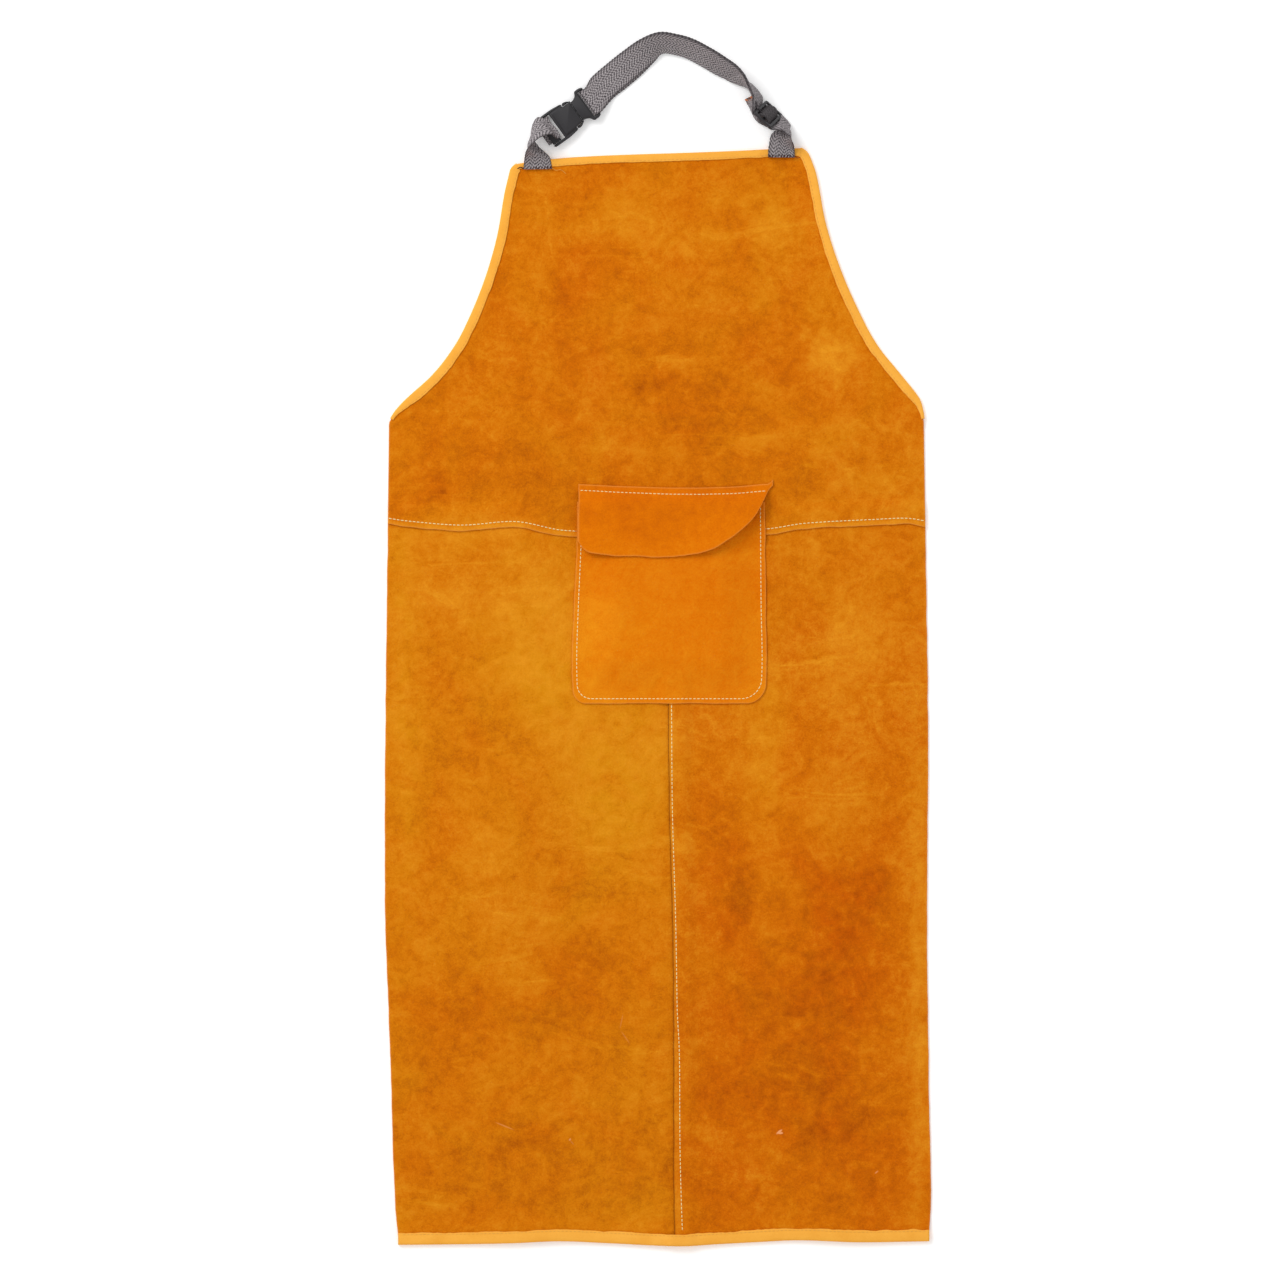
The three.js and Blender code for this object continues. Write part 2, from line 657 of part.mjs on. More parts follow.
function pocketX(y, side) {
  const up = (y - pocketBottom) / POCKET_HEIGHT;
  return POCKET_OFFSET + POCKET_WIDTH * along(POCKET_SIDES, 'up', side, up);
}

const POCKET_SIDE_SPANS = 2;
const POCKET_UP_SPANS = 5;

function pocketColumns(y) {
  const left = pocketX(y, 'left');
  const right = pocketX(y, 'right');
  const seam = [centreX(y) - LAP_MARGIN, centreX(y) + CENTRE_LAP + LAP_MARGIN];
  return [
    left,
    left + POCKET_RIM,
    ...spread(left + POCKET_RIM + POCKET_RISE_RUN, seam[0] - STEP_RUN, POCKET_SIDE_SPANS),
    ...seam,
    ...spread(seam[1] + STEP_RUN, right - POCKET_RIM - POCKET_RISE_RUN, POCKET_SIDE_SPANS),
    right - POCKET_RIM,
    right,
  ];
}

function pocketRows(x) {
  const lap = [waistY(x) - LAP_MARGIN - STEP_RUN, waistY(x) - LAP_MARGIN, lapTop(x)];
  return [
    pocketBottom,
    pocketBottom + POCKET_RIM,
    ...spread(pocketBottom + POCKET_RIM + POCKET_RISE_RUN, lap[0], POCKET_UP_SPANS),
    lap[1],
    lap[2],
    pocketMouth,
  ];
}

const POCKET_COLUMNS = pocketColumns(0).length;
const POCKET_ROWS = pocketRows(0).length;

// Share of the pocket's full depth at a grid point: none at the sewn rim, less at the mouth.
function pocketSwell(column, row) {
  const side = Math.min(column, POCKET_COLUMNS - 1 - column);
  if (side < 2 || row < 2) {
    return 0;
  }
  if (row === POCKET_ROWS - 1) {
    return POCKET_MOUTH_SHARE;
  }
  return row === POCKET_ROWS - 2 ? (POCKET_MOUTH_SHARE + 1) / 2 : 1;
}

function pocketUnder(column, row) {
  const height = pocketRows(POCKET_OFFSET)[row];
  let x = pocketColumns(height)[column];
  let y = pocketRows(x)[row];
  if (row === 0 && (column === 0 || column === POCKET_COLUMNS - 1)) {
    const cut = POCKET_CORNER * (1 - Math.SQRT1_2);
    x += column === 0 ? cut : -cut;
    y += cut;
  }
  const rim = coverTop(x, y) + CLEARANCE;
  const roof = ground(x, y) + LEATHER + POCKET_DEPTH;
  return new THREE.Vector3(x, y, lerp(rim, Math.max(roof, rim), pocketSwell(column, row)));
}

const pocket = sheet(POCKET_COLUMNS, POCKET_ROWS, pocketUnder, LEATHER);

// Flap: sewn on above the mouth, over the pocket, with its right side turned up.
const flapTop = pocketMouth + FLAP_RISE;
const flapOver = LEATHER + POCKET_DEPTH + LEATHER + 3 * CLEARANCE;

const FLAP_SPANS = 3;
const FLAP_ROWS = FLAP_BEND.length + FLAP_SPANS + 1;

function flapY(row, top, bottom) {
  const bend = FLAP_BEND.map(({ above, limit }) => (
    Math.max(pocketMouth + above * FLAP_RISE, lerp(top, bottom, limit))
  ));
  if (row === 0) {
    return top;
  }
  const last = bend[bend.length - 1];
  return row <= bend.length ? bend[row - 1] : lerp(last, bottom, (row - bend.length) / FLAP_SPANS);
}

function flapRise(y) {
  const [low, middle, high] = FLAP_BEND;
  const level = (row) => pocketMouth + row.above * FLAP_RISE;
  const lower = ramp(y, level(low), level(middle));
  const upper = ramp(y, level(middle), level(high));
  return middle.share * lower + (high.share - middle.share) * upper;
}

function flapUnder(column, row) {
  const line = FLAP_LINE[column];
  const x = POCKET_OFFSET + POCKET_WIDTH * line.across;
  const top = flapTop - FLAP_HEM * line.sag;
  const y = flapY(row, top, top - FLAP_LENGTH * line.long);
  const base = LEATHER + CLEARANCE;
  const edge = lerp(FLAP_LOW_EDGE.share, 1, ramp(line.across, FLAP_LOW_EDGE.from, FLAP_LOW_EDGE.to));
  const turned = ramp(line.across, FLAP_CURL_RUN.from, FLAP_CURL_RUN.to);
  const curl = FLAP_CURL * turned * ((top - y) / FLAP_LENGTH) ** FLAP_CURL_RUN.power;
  return new THREE.Vector3(x, y, ground(x, y) + base + (flapOver - base) * flapRise(y) * edge + curl);
}

const pocketFlap = sheet(
  FLAP_LINE.length,
  FLAP_ROWS,
  (column, row) => flapUnder(column, FLAP_ROWS - 1 - row),
  LEATHER,
);

// Webbing ribbon through stations with a centre and a unit vector across its width.
const RIBBON_OUTLINE = [[-1, -1], [1, -1], [1, 1], [-1, 1]].map(([h, v]) => new THREE.Vector2(h, v));

function ribbonFrames(stations, steps) {
  const curve = (key) => new THREE.CatmullRomCurve3(stations.map((s) => s[key]), false, 'catmullrom', 0.5);
  const centres = curve('centre');
  const acrosses = curve('across');
  const count = (stations.length - 1) * steps;
  return spread(0, 1, count).map((t) => {
    const centre = centres.getPoint(t);
    const ahead = centres.getTangent(t);
    const across = acrosses.getPoint(t);
    across.addScaledVector(ahead, -across.dot(ahead)).normalize();
    return { centre, across, normal: new THREE.Vector3().crossVectors(across, ahead).normalize() };
  });
}

function ribbon(frames) {
  const rings = frames.map(({ centre, across, normal }) => RIBBON_OUTLINE.map((corner) => (
    centre.clone()
      .addScaledVector(across, corner.x * WEBBING_WIDTH / 2)
      .addScaledVector(normal, corner.y * WEBBING / 2)
  )));
  return loft(rings, RIBBON_OUTLINE);
}

const leftTabX = TAB_OFFSET - TAB_SPACING / 2;

function strapPoint(row) {
  return new THREE.Vector3(
    leftTabX + row.along * TAB_SPACING,
    APRON_LENGTH + row.up * STRAP_REACH,
    row.high * WEBBING_WIDTH,
  );
}

// Stations of a strap whose width stands square to its path, outer edge up by the tilt.
function tiltedStations(rows, before, after) {
  const points = [before, ...rows.map(strapPoint), after];
  return rows.map((row, i) => {
    const ahead = points[i + 2].clone().sub(points[i]).setZ(0).normalize();
    const out = new THREE.Vector3(-ahead.y, ahead.x, 0);
    const tilt = row.tilt * DEGREE;
    return {
      centre: points[i + 1],
      across: out.multiplyScalar(Math.cos(tilt)).add(new THREE.Vector3(0, 0, Math.sin(tilt))),
    };
  });
}

// Buckle, built with its length along X and its socket bar at the negative end, then turned and placed.
const buckleCentre = new THREE.Vector3(
  leftTabX + BUCKLE_ALONG * TAB_SPACING,
  APRON_LENGTH + BUCKLE_UP * STRAP_REACH,
  BUCKLE_LIFT,
);
const buckleTurn = new THREE.Matrix4()
  .makeRotationZ(BUCKLE_ANGLE * DEGREE)
  .setPosition(buckleCentre);

function manifold(geometry) {
  const bare = geometry.clone();
  bare.deleteAttribute('normal');
  bare.deleteAttribute('uv');
  const merged = mergeVertices(bare, 1e-4);
  return new wasm.Manifold(new wasm.Mesh({
    numProp: 3,
    vertProperties: new Float32Array(merged.attributes.position.array),
    triVerts: new Uint32Array(merged.index.array),
  }));
}

function fromManifold(body) {
  const mesh = body.getMesh();
  const geometry = new THREE.BufferGeometry();
  geometry.setAttribute('position', new THREE.Float32BufferAttribute(mesh.vertProperties, 3));
  geometry.setIndex(Array.from(mesh.triVerts));
  const shape = geometry.toNonIndexed();
  shape.computeVertexNormals();
  return shape;
}

function box(fromX, toX, fromY, toY, fromZ, toZ) {
  const geometry = new THREE.BoxGeometry(toX - fromX, toY - fromY, toZ - fromZ);
  geometry.translate((fromX + toX) / 2, (fromY + toY) / 2, (fromZ + toZ) / 2);
  return manifold(geometry);
}

// Plate with a mirrored outline, given as rows of distance along and half width.
function plate(rows, height, bevel) {
  const shape = new THREE.Shape();
  rows.forEach(([x, half], i) => (i ? shape.lineTo(x, half) : shape.moveTo(x, half)));
  [...rows].reverse().forEach(([x, half]) => shape.lineTo(x, -half));
  shape.closePath();
  const geometry = new THREE.ExtrudeGeometry(shape, {
    depth: height - 2 * bevel,
    bevelThickness: bevel,
    bevelSize: bevel,
    bevelOffset: -bevel,
    bevelSegments: 1,
    curveSegments: 4,
  });
  geometry.translate(0, 0, bevel);
  return manifold(geometry);
}

const buckleEnd = BUCKLE_LENGTH / 2;
const slotHalf = WEBBING_WIDTH / 2 + SLOT_PLAY;
const buckleHalf = slotHalf + BUCKLE_RAIL;
const socketHalf = buckleHalf - SOCKET_INSET;
const socketMouth = buckleEnd - PLUG_LENGTH;
const slotStart = -buckleEnd + BUCKLE_BAR;
const barLow = (BUCKLE_HEIGHT - BUCKLE_BAR_THICKNESS) / 2;
const barHigh = (BUCKLE_HEIGHT + BUCKLE_BAR_THICKNESS) / 2;
const roomHalf = socketHalf - BUCKLE_SIDE;
const roomLow = BUCKLE_WALL;
const roomHigh = BUCKLE_HEIGHT - BUCKLE_WALL;
const roomEnd = slotStart + BUCKLE_SLOT + BUCKLE_WALL;
const padFrom = socketMouth - PAD_SETBACK - PAD_LENGTH;
const padTo = socketMouth - PAD_SETBACK;
const padOut = socketHalf - PAD_INSET;
const CUT_MARGIN = 1;
const CUT_OVERLAP = 0.01;

// Cuts through both faces where the webbing passes, and down to the thickness of the end bar.
function cutForWebbing(body, fromX, toX, endX) {
  const barX = endX > 0 ? toX : fromX;
  const from = Math.min(barX, endX) - CUT_OVERLAP;
  const to = Math.max(barX, endX) + CUT_OVERLAP;
  const above = BUCKLE_HEIGHT + CUT_MARGIN;
  return body
    .subtract(box(fromX, toX, -slotHalf, slotHalf, -CUT_MARGIN, above))
    .subtract(box(from, to, -slotHalf, slotHalf, barHigh, above))
    .subtract(box(from, to, -slotHalf, slotHalf, -CUT_MARGIN, barLow));
}

const socketBody = plate([
  ...SOCKET_CORNER.map((row) => [-buckleEnd + row.ahead * PLUG_LENGTH, socketHalf - row.inset * BUCKLE_RAIL]),
  ...SOCKET_MOUTH.map((row) => [socketMouth - row.back * PLUG_LENGTH, socketHalf - row.inset * BUCKLE_RAIL]),
], BUCKLE_HEIGHT, BUCKLE_BEVEL);

let buckleSocket = cutForWebbing(socketBody, slotStart, slotStart + BUCKLE_SLOT, -buckleEnd - CUT_MARGIN)
  .subtract(box(roomEnd, socketMouth + CUT_MARGIN, -roomHalf, roomHalf, roomLow, roomHigh));

const plugStart = socketMouth + CLEARANCE;
const plugSlotEnd = buckleEnd - BUCKLE_BAR;
const plugBody = plate(
  PLUG_OUTLINE.map((row) => [lerp(plugStart, buckleEnd, row.ahead), buckleHalf - row.inset * BUCKLE_RAIL]),
  BUCKLE_HEIGHT,
  BUCKLE_BEVEL,
);
const tongueHalf = roomHalf - CLEARANCE;
const tongueLow = roomLow + CLEARANCE;
const tongueHigh = roomHigh - CLEARANCE;
const tongueEnd = plugStart + CUT_MARGIN;
let bucklePlug = cutForWebbing(plugBody, plugSlotEnd - PLUG_SLOT, plugSlotEnd, buckleEnd + CUT_MARGIN)
  .add(box(roomEnd + TONGUE_GAP, tongueEnd, -tongueHalf, tongueHalf, tongueLow, tongueHigh));

// The plug's two pads stand in windows in the sides of the socket.
for (const side of [-1, 1]) {
  const across = (inner, outer) => [side * inner, side * outer].sort((a, b) => a - b);
  const [windowLow, windowHigh] = across(roomHalf - CUT_MARGIN, buckleHalf);
  const [padLow, padHigh] = across(tongueHalf - CUT_MARGIN, padOut);
  buckleSocket = buckleSocket
    .subtract(box(padFrom - CLEARANCE, padTo + CLEARANCE, windowLow, windowHigh, roomLow, roomHigh));
  bucklePlug = bucklePlug.add(box(padFrom, padTo, padLow, padHigh, tongueLow, tongueHigh));
}

const socketGeometry = fromManifold(buckleSocket).applyMatrix4(buckleTurn);
const plugGeometry = fromManifold(bucklePlug).applyMatrix4(buckleTurn);

// Point and direction in the buckle's own frame, turned into place.
const atBuckle = (x, z) => new THREE.Vector3(x, 0, z).applyMatrix4(buckleTurn);
const buckleAcross = new THREE.Vector3(0, 1, 0).transformDirection(buckleTurn);

// Half turn of webbing round a buckle bar, from its upper to its lower side: rounder with a larger power.
const TURN_SQUARENESS = 0.45;

function barTurn(barX, sign, across) {
  const middle = BUCKLE_HEIGHT / 2;
  const reach = BUCKLE_BAR_THICKNESS / 2 + WEBBING_GAP + WEBBING / 2;
  const ahead = BUCKLE_BAR / 2 + WEBBING_GAP + WEBBING / 2;
  const square = (value) => Math.sign(value) * Math.abs(value) ** TURN_SQUARENESS;
  return [90, 45, 0, -45, -90].map((angle) => ({
    centre: atBuckle(
      barX + sign * ahead * square(Math.cos(angle * DEGREE)),
      middle + reach * square(Math.sin(angle * DEGREE)),
    ),
    across: across.clone(),
  }));
}

// Left tab: up from the bib, half a twist, round the socket bar and back under itself.
const socketBarX = -buckleEnd + BUCKLE_BAR / 2;
const leftTabStart = LEFT_TAB_LINE.map((row) => {
  const plan = row.across * DEGREE;
  const tilt = row.tilt * DEGREE;
  return {
    centre: strapPoint(row),
    across: new THREE.Vector3(Math.cos(plan) * Math.cos(tilt), Math.sin(plan) * Math.cos(tilt), Math.sin(tilt)),
  };
});

const webbingOnBar = barHigh + WEBBING_GAP + WEBBING / 2;
const tabApproach = TAB_APPROACH.map((row) => ({
  centre: atBuckle(socketBarX - row.back * BUCKLE_BAR, webbingOnBar + row.high * BUCKLE_BAR),
  across: buckleAcross.clone()
    .multiplyScalar(Math.cos(row.tilt * DEGREE))
    .add(new THREE.Vector3(0, 0, Math.sin(row.tilt * DEGREE))),
}));
const tabReturn = {
  centre: atBuckle(socketBarX - TAB_UNDERLAP, TAB_UNDER_LIFT + WEBBING / 2),
  across: buckleAcross,
};
const TAB_STEPS = 3;
const leftTab = ribbon(ribbonFrames([
  ...leftTabStart,
  ...tabApproach,
  ...barTurn(socketBarX, 1, buckleAcross),
  tabReturn,
], TAB_STEPS));

// Slider on the strap: its length runs along the strap and its bars lie across it.
const sliderPlace = strapPoint(SLIDER_PLACE);
const sliderHeading = SLIDER_HEADING * DEGREE;
const sliderAhead = new THREE.Vector3(Math.cos(sliderHeading), Math.sin(sliderHeading), 0);
const sliderTilt = SLIDER_TILT * DEGREE;
const sliderAcross = new THREE.Vector3(-sliderAhead.y, sliderAhead.x, 0)
  .multiplyScalar(Math.cos(sliderTilt))
  .add(new THREE.Vector3(0, 0, Math.sin(sliderTilt)));
const sliderNormal = new THREE.Vector3().crossVectors(sliderAcross, sliderAhead);
const sliderTurn = new THREE.Matrix4()
  .makeBasis(sliderAhead, sliderAcross.clone().negate(), sliderNormal)
  .setPosition(sliderPlace);

const sliderSlot = (SLIDER_LENGTH - 3 * SLIDER_BAR) / 2;
const sliderSlotX = (SLIDER_BAR + sliderSlot) / 2;
const sliderHalf = SLIDER_LENGTH / 2;
const sliderSide = slotHalf + SLIDER_RAIL;
let slider = plate([
  [-sliderHalf, sliderSide - SLIDER_CORNER],
  [-sliderHalf + SLIDER_CORNER, sliderSide],
  [sliderHalf - SLIDER_CORNER, sliderSide],
  [sliderHalf, sliderSide - SLIDER_CORNER],
], SLIDER_THICKNESS, SLIDER_BEVEL).translate([0, 0, -SLIDER_THICKNESS / 2]);
for (const slotX of [-sliderSlotX, sliderSlotX]) {
  const from = slotX - sliderSlot / 2;
  const to = slotX + sliderSlot / 2;
  slider = slider.subtract(box(from, to, -slotHalf, slotHalf, -SLIDER_THICKNESS, SLIDER_THICKNESS));
}
const sliderGeometry = fromManifold(slider).applyMatrix4(sliderTurn);

// The strap weaves under the end bars and over the middle bar.
const weave = SLIDER_THICKNESS / 2 + WEBBING / 2 + SLIDER_PLAY;
const weaveEnd = sliderHalf + LAP_MARGIN;
const weaveBar = SLIDER_BAR / 2 + LAP_MARGIN;
const sliderStations = [
  { ahead: -weaveEnd, lift: -weave },
  { ahead: -sliderHalf + SLIDER_BAR, lift: -weave },
  { ahead: -weaveBar, lift: weave },
  { ahead: weaveBar, lift: weave },
  { ahead: sliderHalf - SLIDER_BAR, lift: -weave },
  { ahead: weaveEnd, lift: -weave },
].map(({ ahead, lift }) => ({
  centre: sliderPlace.clone().addScaledVector(sliderAhead, ahead).addScaledVector(sliderNormal, lift),
  across: sliderAcross.clone(),
}));

// Neck strap: bib, slider, arc, round the plug bar and back under itself to a free end at the slider.
const RIBBON_STEPS = 2;
const SHARED_ROWS = 9;
const plugBarX = buckleEnd - BUCKLE_BAR / 2;
const plugTurn = barTurn(plugBarX, -1, buckleAcross);
const plugApproach = {
  centre: atBuckle(buckleEnd + STRAP_LEAD, webbingOnBar),
  across: buckleAcross.clone(),
};
const plugLeave = {
  centre: atBuckle(buckleEnd + STRAP_LEAD, barLow - WEBBING_GAP - WEBBING / 2),
  across: buckleAcross.clone(),
};
const arc = tiltedStations(STRAP_LINE, plugApproach.centre, sliderStations[0].centre);
const tabEnd = strapPoint(RIGHT_TAB_END);
const rightTab = tiltedStations(RIGHT_TAB_LINE, sliderStations[sliderStations.length - 1].centre, tabEnd);
const outerLayer = ribbonFrames([
  plugTurn[0],
  plugApproach,
  ...arc,
  ...sliderStations,
  ...rightTab,
  { centre: tabEnd, across: new THREE.Vector3(-1, 0, 0) },
], RIBBON_STEPS);

// The return layer keeps one webbing's distance under the outer one, then leaves it for its free end.
const firstShared = 2 * RIBBON_STEPS;
const underLayer = spread(0, SHARED_ROWS - 1, SHARED_ROWS - 1)
  .map((row) => outerLayer[firstShared + row * RIBBON_STEPS])
  .map(({ centre, across, normal }) => ({
    centre: centre.clone().addScaledVector(normal, WEBBING + WEBBING_GAP),
    across: across.clone(),
  }));
const lastShared = underLayer[underLayer.length - 1].centre;
const freeEnd = tiltedStations(RETURN_LINE, lastShared, strapPoint(FREE_END_AIM));
const returnLayer = ribbonFrames([...plugTurn, plugLeave, ...underLayer, ...freeEnd], RIBBON_STEPS);
const fromBib = outerLayer
  .slice(1)
  .reverse()
  .map((frame) => ({ ...frame, normal: frame.normal.clone().negate() }));
const neckStrap = ribbon([...fromBib, ...returnLayer]);

// Materials and scene graph.
const MATERIALS = {
  orangeLeather: { color: 0xd9720f, roughness: 0.92, metalness: 0 },
  yellowLeather: { color: 0xf7bb55, roughness: 0.85, metalness: 0 },
  webbing: { color: 0x6a6266, roughness: 0.8, metalness: 0 },
  plastic: { color: 0x2f2d2f, roughness: 0.45, metalness: 0 },
};

const apron = new THREE.Group();
const PIECES = [
  ['upper_panel', upperPanel, 'orangeLeather'],
  ['lower_left_panel', lowerLeftPanel, 'orangeLeather'],
  ['lower_right_panel', lowerRightPanel, 'orangeLeather'],
  ['pocket', pocket, 'orangeLeather'],
  ['pocket_flap', pocketFlap, 'orangeLeather'],
  ['top_binding', topBinding, 'yellowLeather'],
  ['left_armhole_binding', leftArmholeBinding, 'yellowLeather'],
  ['right_armhole_binding', rightArmholeBinding, 'yellowLeather'],
  ['hem_binding', hemBinding, 'yellowLeather'],
  ['left_tab', leftTab, 'webbing'],
  ['neck_strap', neckStrap, 'webbing'],
  ['buckle_socket', socketGeometry, 'plastic'],
  ['buckle_plug', plugGeometry, 'plastic'],
  ['slider', sliderGeometry, 'plastic'],
];
for (const [name, geometry, finish] of PIECES) {
  const mesh = new THREE.Mesh(geometry, new THREE.MeshStandardMaterial(MATERIALS[finish]));
  mesh.name = name;
  apron.add(mesh);
}

// The origin is the middle of the apron's box, on the surface that it lies on.
const extent = new THREE.Box3().setFromObject(apron, true);
const middle = extent.getCenter(new THREE.Vector3());
apron.position.set(-middle.x, -middle.y, -extent.min.z);

export default apron;
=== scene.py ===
import math

import bmesh
import bpy
import numpy as np
from mathutils import Matrix, Vector
from mathutils.geometry import tessellate_polygon


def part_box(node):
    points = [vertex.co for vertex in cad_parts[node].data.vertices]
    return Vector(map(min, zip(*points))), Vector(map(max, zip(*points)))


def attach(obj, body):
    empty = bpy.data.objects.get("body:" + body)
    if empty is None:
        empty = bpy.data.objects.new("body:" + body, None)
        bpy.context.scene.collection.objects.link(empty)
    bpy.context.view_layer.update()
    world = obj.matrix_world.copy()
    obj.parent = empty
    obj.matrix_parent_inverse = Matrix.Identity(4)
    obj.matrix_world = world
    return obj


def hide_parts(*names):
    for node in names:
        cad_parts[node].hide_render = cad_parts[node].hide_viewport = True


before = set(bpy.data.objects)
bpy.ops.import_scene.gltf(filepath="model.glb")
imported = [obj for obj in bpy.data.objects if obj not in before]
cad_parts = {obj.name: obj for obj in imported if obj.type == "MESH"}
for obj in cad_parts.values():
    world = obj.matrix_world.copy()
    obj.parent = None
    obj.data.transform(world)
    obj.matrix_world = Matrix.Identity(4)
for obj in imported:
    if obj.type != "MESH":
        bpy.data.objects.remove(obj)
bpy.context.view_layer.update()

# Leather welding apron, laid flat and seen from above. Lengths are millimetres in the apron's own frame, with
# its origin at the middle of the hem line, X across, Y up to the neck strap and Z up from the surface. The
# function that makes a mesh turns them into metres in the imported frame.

MM = 0.001


def table(columns, *rows):
    """Short table with named columns."""
    return {name: np.array([row[i] for row in rows], float) for i, name in enumerate(columns.split())}


# Cut of the apron
APRON_LENGTH = 1100
APRON_WIDTH = 550
BIB_WIDTH = 294
ARMHOLE_HEIGHT = 828
WAIST_HEIGHT = 721
LEATHER = 1.8
CLEARANCE = 0.3
WAIST_LAP = 16
CENTRE_LAP = 13
CENTRE_SEAM_OFFSET = 16
LAP_MARGIN = 1
STEP_RUN = 12
BINDING = 1
HEM_BINDING_WIDTH = 12
ARMHOLE_BINDING_WIDTH = 9
TOP_BINDING_WIDTH = 8
POCKET_WIDTH = 195
POCKET_HEIGHT = 204
POCKET_DROP = 177
POCKET_OFFSET = 11.6
POCKET_DEPTH = 7.8
POCKET_RIM = 7
POCKET_SWELL_RUN = 42
POCKET_CORNERS = {"left": 14, "right": 20}
FLAP_LENGTH = 73
FLAP_RISE = 18
FLAP_HEM = 8
FLAP_CURL = 12

# Webbing, buckle and slider
WEBBING_WIDTH = 29
WEBBING = 1.5
WEBBING_GAP = 0.5
TAB_SPACING = 246
TAB_OFFSET = 2.3
STRAP_REACH = 121
TAB_UNDER_LIFT = 1.2
STRAP_LEAD = 3
SLOT_PLAY = 0.6
BUCKLE_LENGTH = 57
BUCKLE_HEIGHT = 9
BUCKLE_BAR_THICKNESS = 3.2
BUCKLE_ANGLE = 36
BUCKLE_ALONG = 0.125
BUCKLE_UP = 0.304
BUCKLE_LIFT = 0.4
SLIDER_LENGTH = 23
SLIDER_RAIL = 2.9
SLIDER_THICKNESS = 2.2
SLIDER_BAR = 3
SLIDER_PLAY = 0.8
SLIDER_PLACE = (0.945, 0.325, 0.58)
SLIDER_HEADING = -42.2
SLIDER_TILT = 122
TURN_SQUARENESS = 0.45
GROUND = 0.05
TOP_CORNER = 7
SOCKET_BAR_EDGE = 19.1
SOCKET_WEBBING = (-11.5, 14)
PLUG_BAR_EDGE = 24.3
STITCH_PITCH = 4.1
WAIST_STITCH = 6
POCKET_STITCH = 4.8

LAYER = LEATHER + CLEARANCE
BOUND_LIFT = BINDING + CLEARANCE
ARMHOLE_DEPTH = APRON_LENGTH - ARMHOLE_HEIGHT
POCKET_BOTTOM = WAIST_HEIGHT - POCKET_DROP
POCKET_MOUTH = POCKET_BOTTOM + POCKET_HEIGHT

WAVE_HEIGHT = 4
WAVES = table(
    "across up wide long high",
    (0.03, 0.87, 0.21, 0.075, 0.7),
    (-0.27, 0.732, 0.17, 0.062, 0.5),
    (0.28, 0.73, 0.17, 0.06, 0.5),
    (-0.27, 0.36, 0.17, 0.2, 0.9),
    (0.29, 0.33, 0.17, 0.21, 1),
    (0.01, 0.24, 0.15, 0.13, 0.6),
    (-0.24, 0.01, 0.15, 0.07, 0.5),
    (0.035, 0.0, 0.13, 0.06, 0.5),
    (0.34, 0.02, 0.15, 0.07, 0.5),
)
SIDES = table(
    "up left right",
    (0, -0.476, 0.499),
    (0.05, -0.483, 0.503),
    (0.2, -0.49, 0.499),
    (0.4, -0.501, 0.496),
    (0.6, -0.501, 0.498),
    (0.82, -0.497, 0.494),
    (1, -0.494, 0.49),
)
ARMHOLES = table(
    "down left right",
    (0, 0, 0.02),
    (0.04, 0.02, 0.06),
    (0.1, 0.05, 0.105),
    (0.28, 0.115, 0.185),
    (0.46, 0.226, 0.32),
    (0.64, 0.385, 0.505),
    (0.73, 0.496, 0.625),
    (0.82, 0.647, 0.79),
    (0.91, 0.853, 0.95),
    (0.955, 0.94, 0.985),
    (1, 1, 1),
)
TOP_TILT = 12
TOP_LINE = table(
    "across rise",
    (-0.5, -1), (-0.4, -0.62), (-0.27, -0.35), (-0.1, -0.16),
    (0.1, 0), (0.28, 0.17), (0.4, 0.32), (0.5, 0.4),
)
WAIST_LINE = table(
    "across rise",
    (-0.5, 0.3), (-0.46, 0.1), (-0.36, -0.16), (-0.26, 0.06), (-0.17, -0.5), (0.02, -0.6),
    (0.2, -0.4), (0.27, -0.05), (0.4, 0.2), (0.46, 0.27), (0.5, 0.05),
)
HEM_WAVE = 4
HEM_LINE = table(
    "across drop",
    (-0.5, 0.7), (-0.36, 0.5), (-0.27, 0.25), (-0.18, -0.25), (-0.09, 0.25), (0.04, 1),
    (0.11, 0.5), (0.18, 0), (0.26, -0.5), (0.37, 0), (0.5, -0.25),
)
CENTRE_LINE = table("up left", (0, 1.07), (0.12, 1), (0.42, 0.97), (0.63, 0.73), (1.1, 0.6))
CENTRE_STITCH = table(
    "up inset",
    (0, 8.4), (40, 7.6), (100, 6.8), (190, 6.2), (240, 3.9), (400, 3.1), (545, 3.4),
)
POCKET_SIDES = table(
    "up left right",
    (0, -0.499, 0.502), (0.2, -0.503, 0.508), (0.45, -0.495, 0.503), (0.8, -0.479, 0.5), (1, -0.476, 0.498),
)
FLAP_LINE = table(
    "across long sag",
    (-0.47, 0.79, 0), (-0.44, 0.9, 0.05), (-0.39, 0.95, 0.1), (-0.27, 0.97, 0.25), (-0.14, 0.97, 0.35),
    (0, 0.97, 0.45), (0.08, 0.94, 0.45), (0.16, 0.91, 0.45), (0.24, 0.84, 0.4), (0.31, 0.73, 0.35),
    (0.38, 0.6, 0.25), (0.445, 0.44, 0.1), (0.49, 0.24, 0), (0.515, 0.1, 0), (0.54, 0.03, -0.1),
)
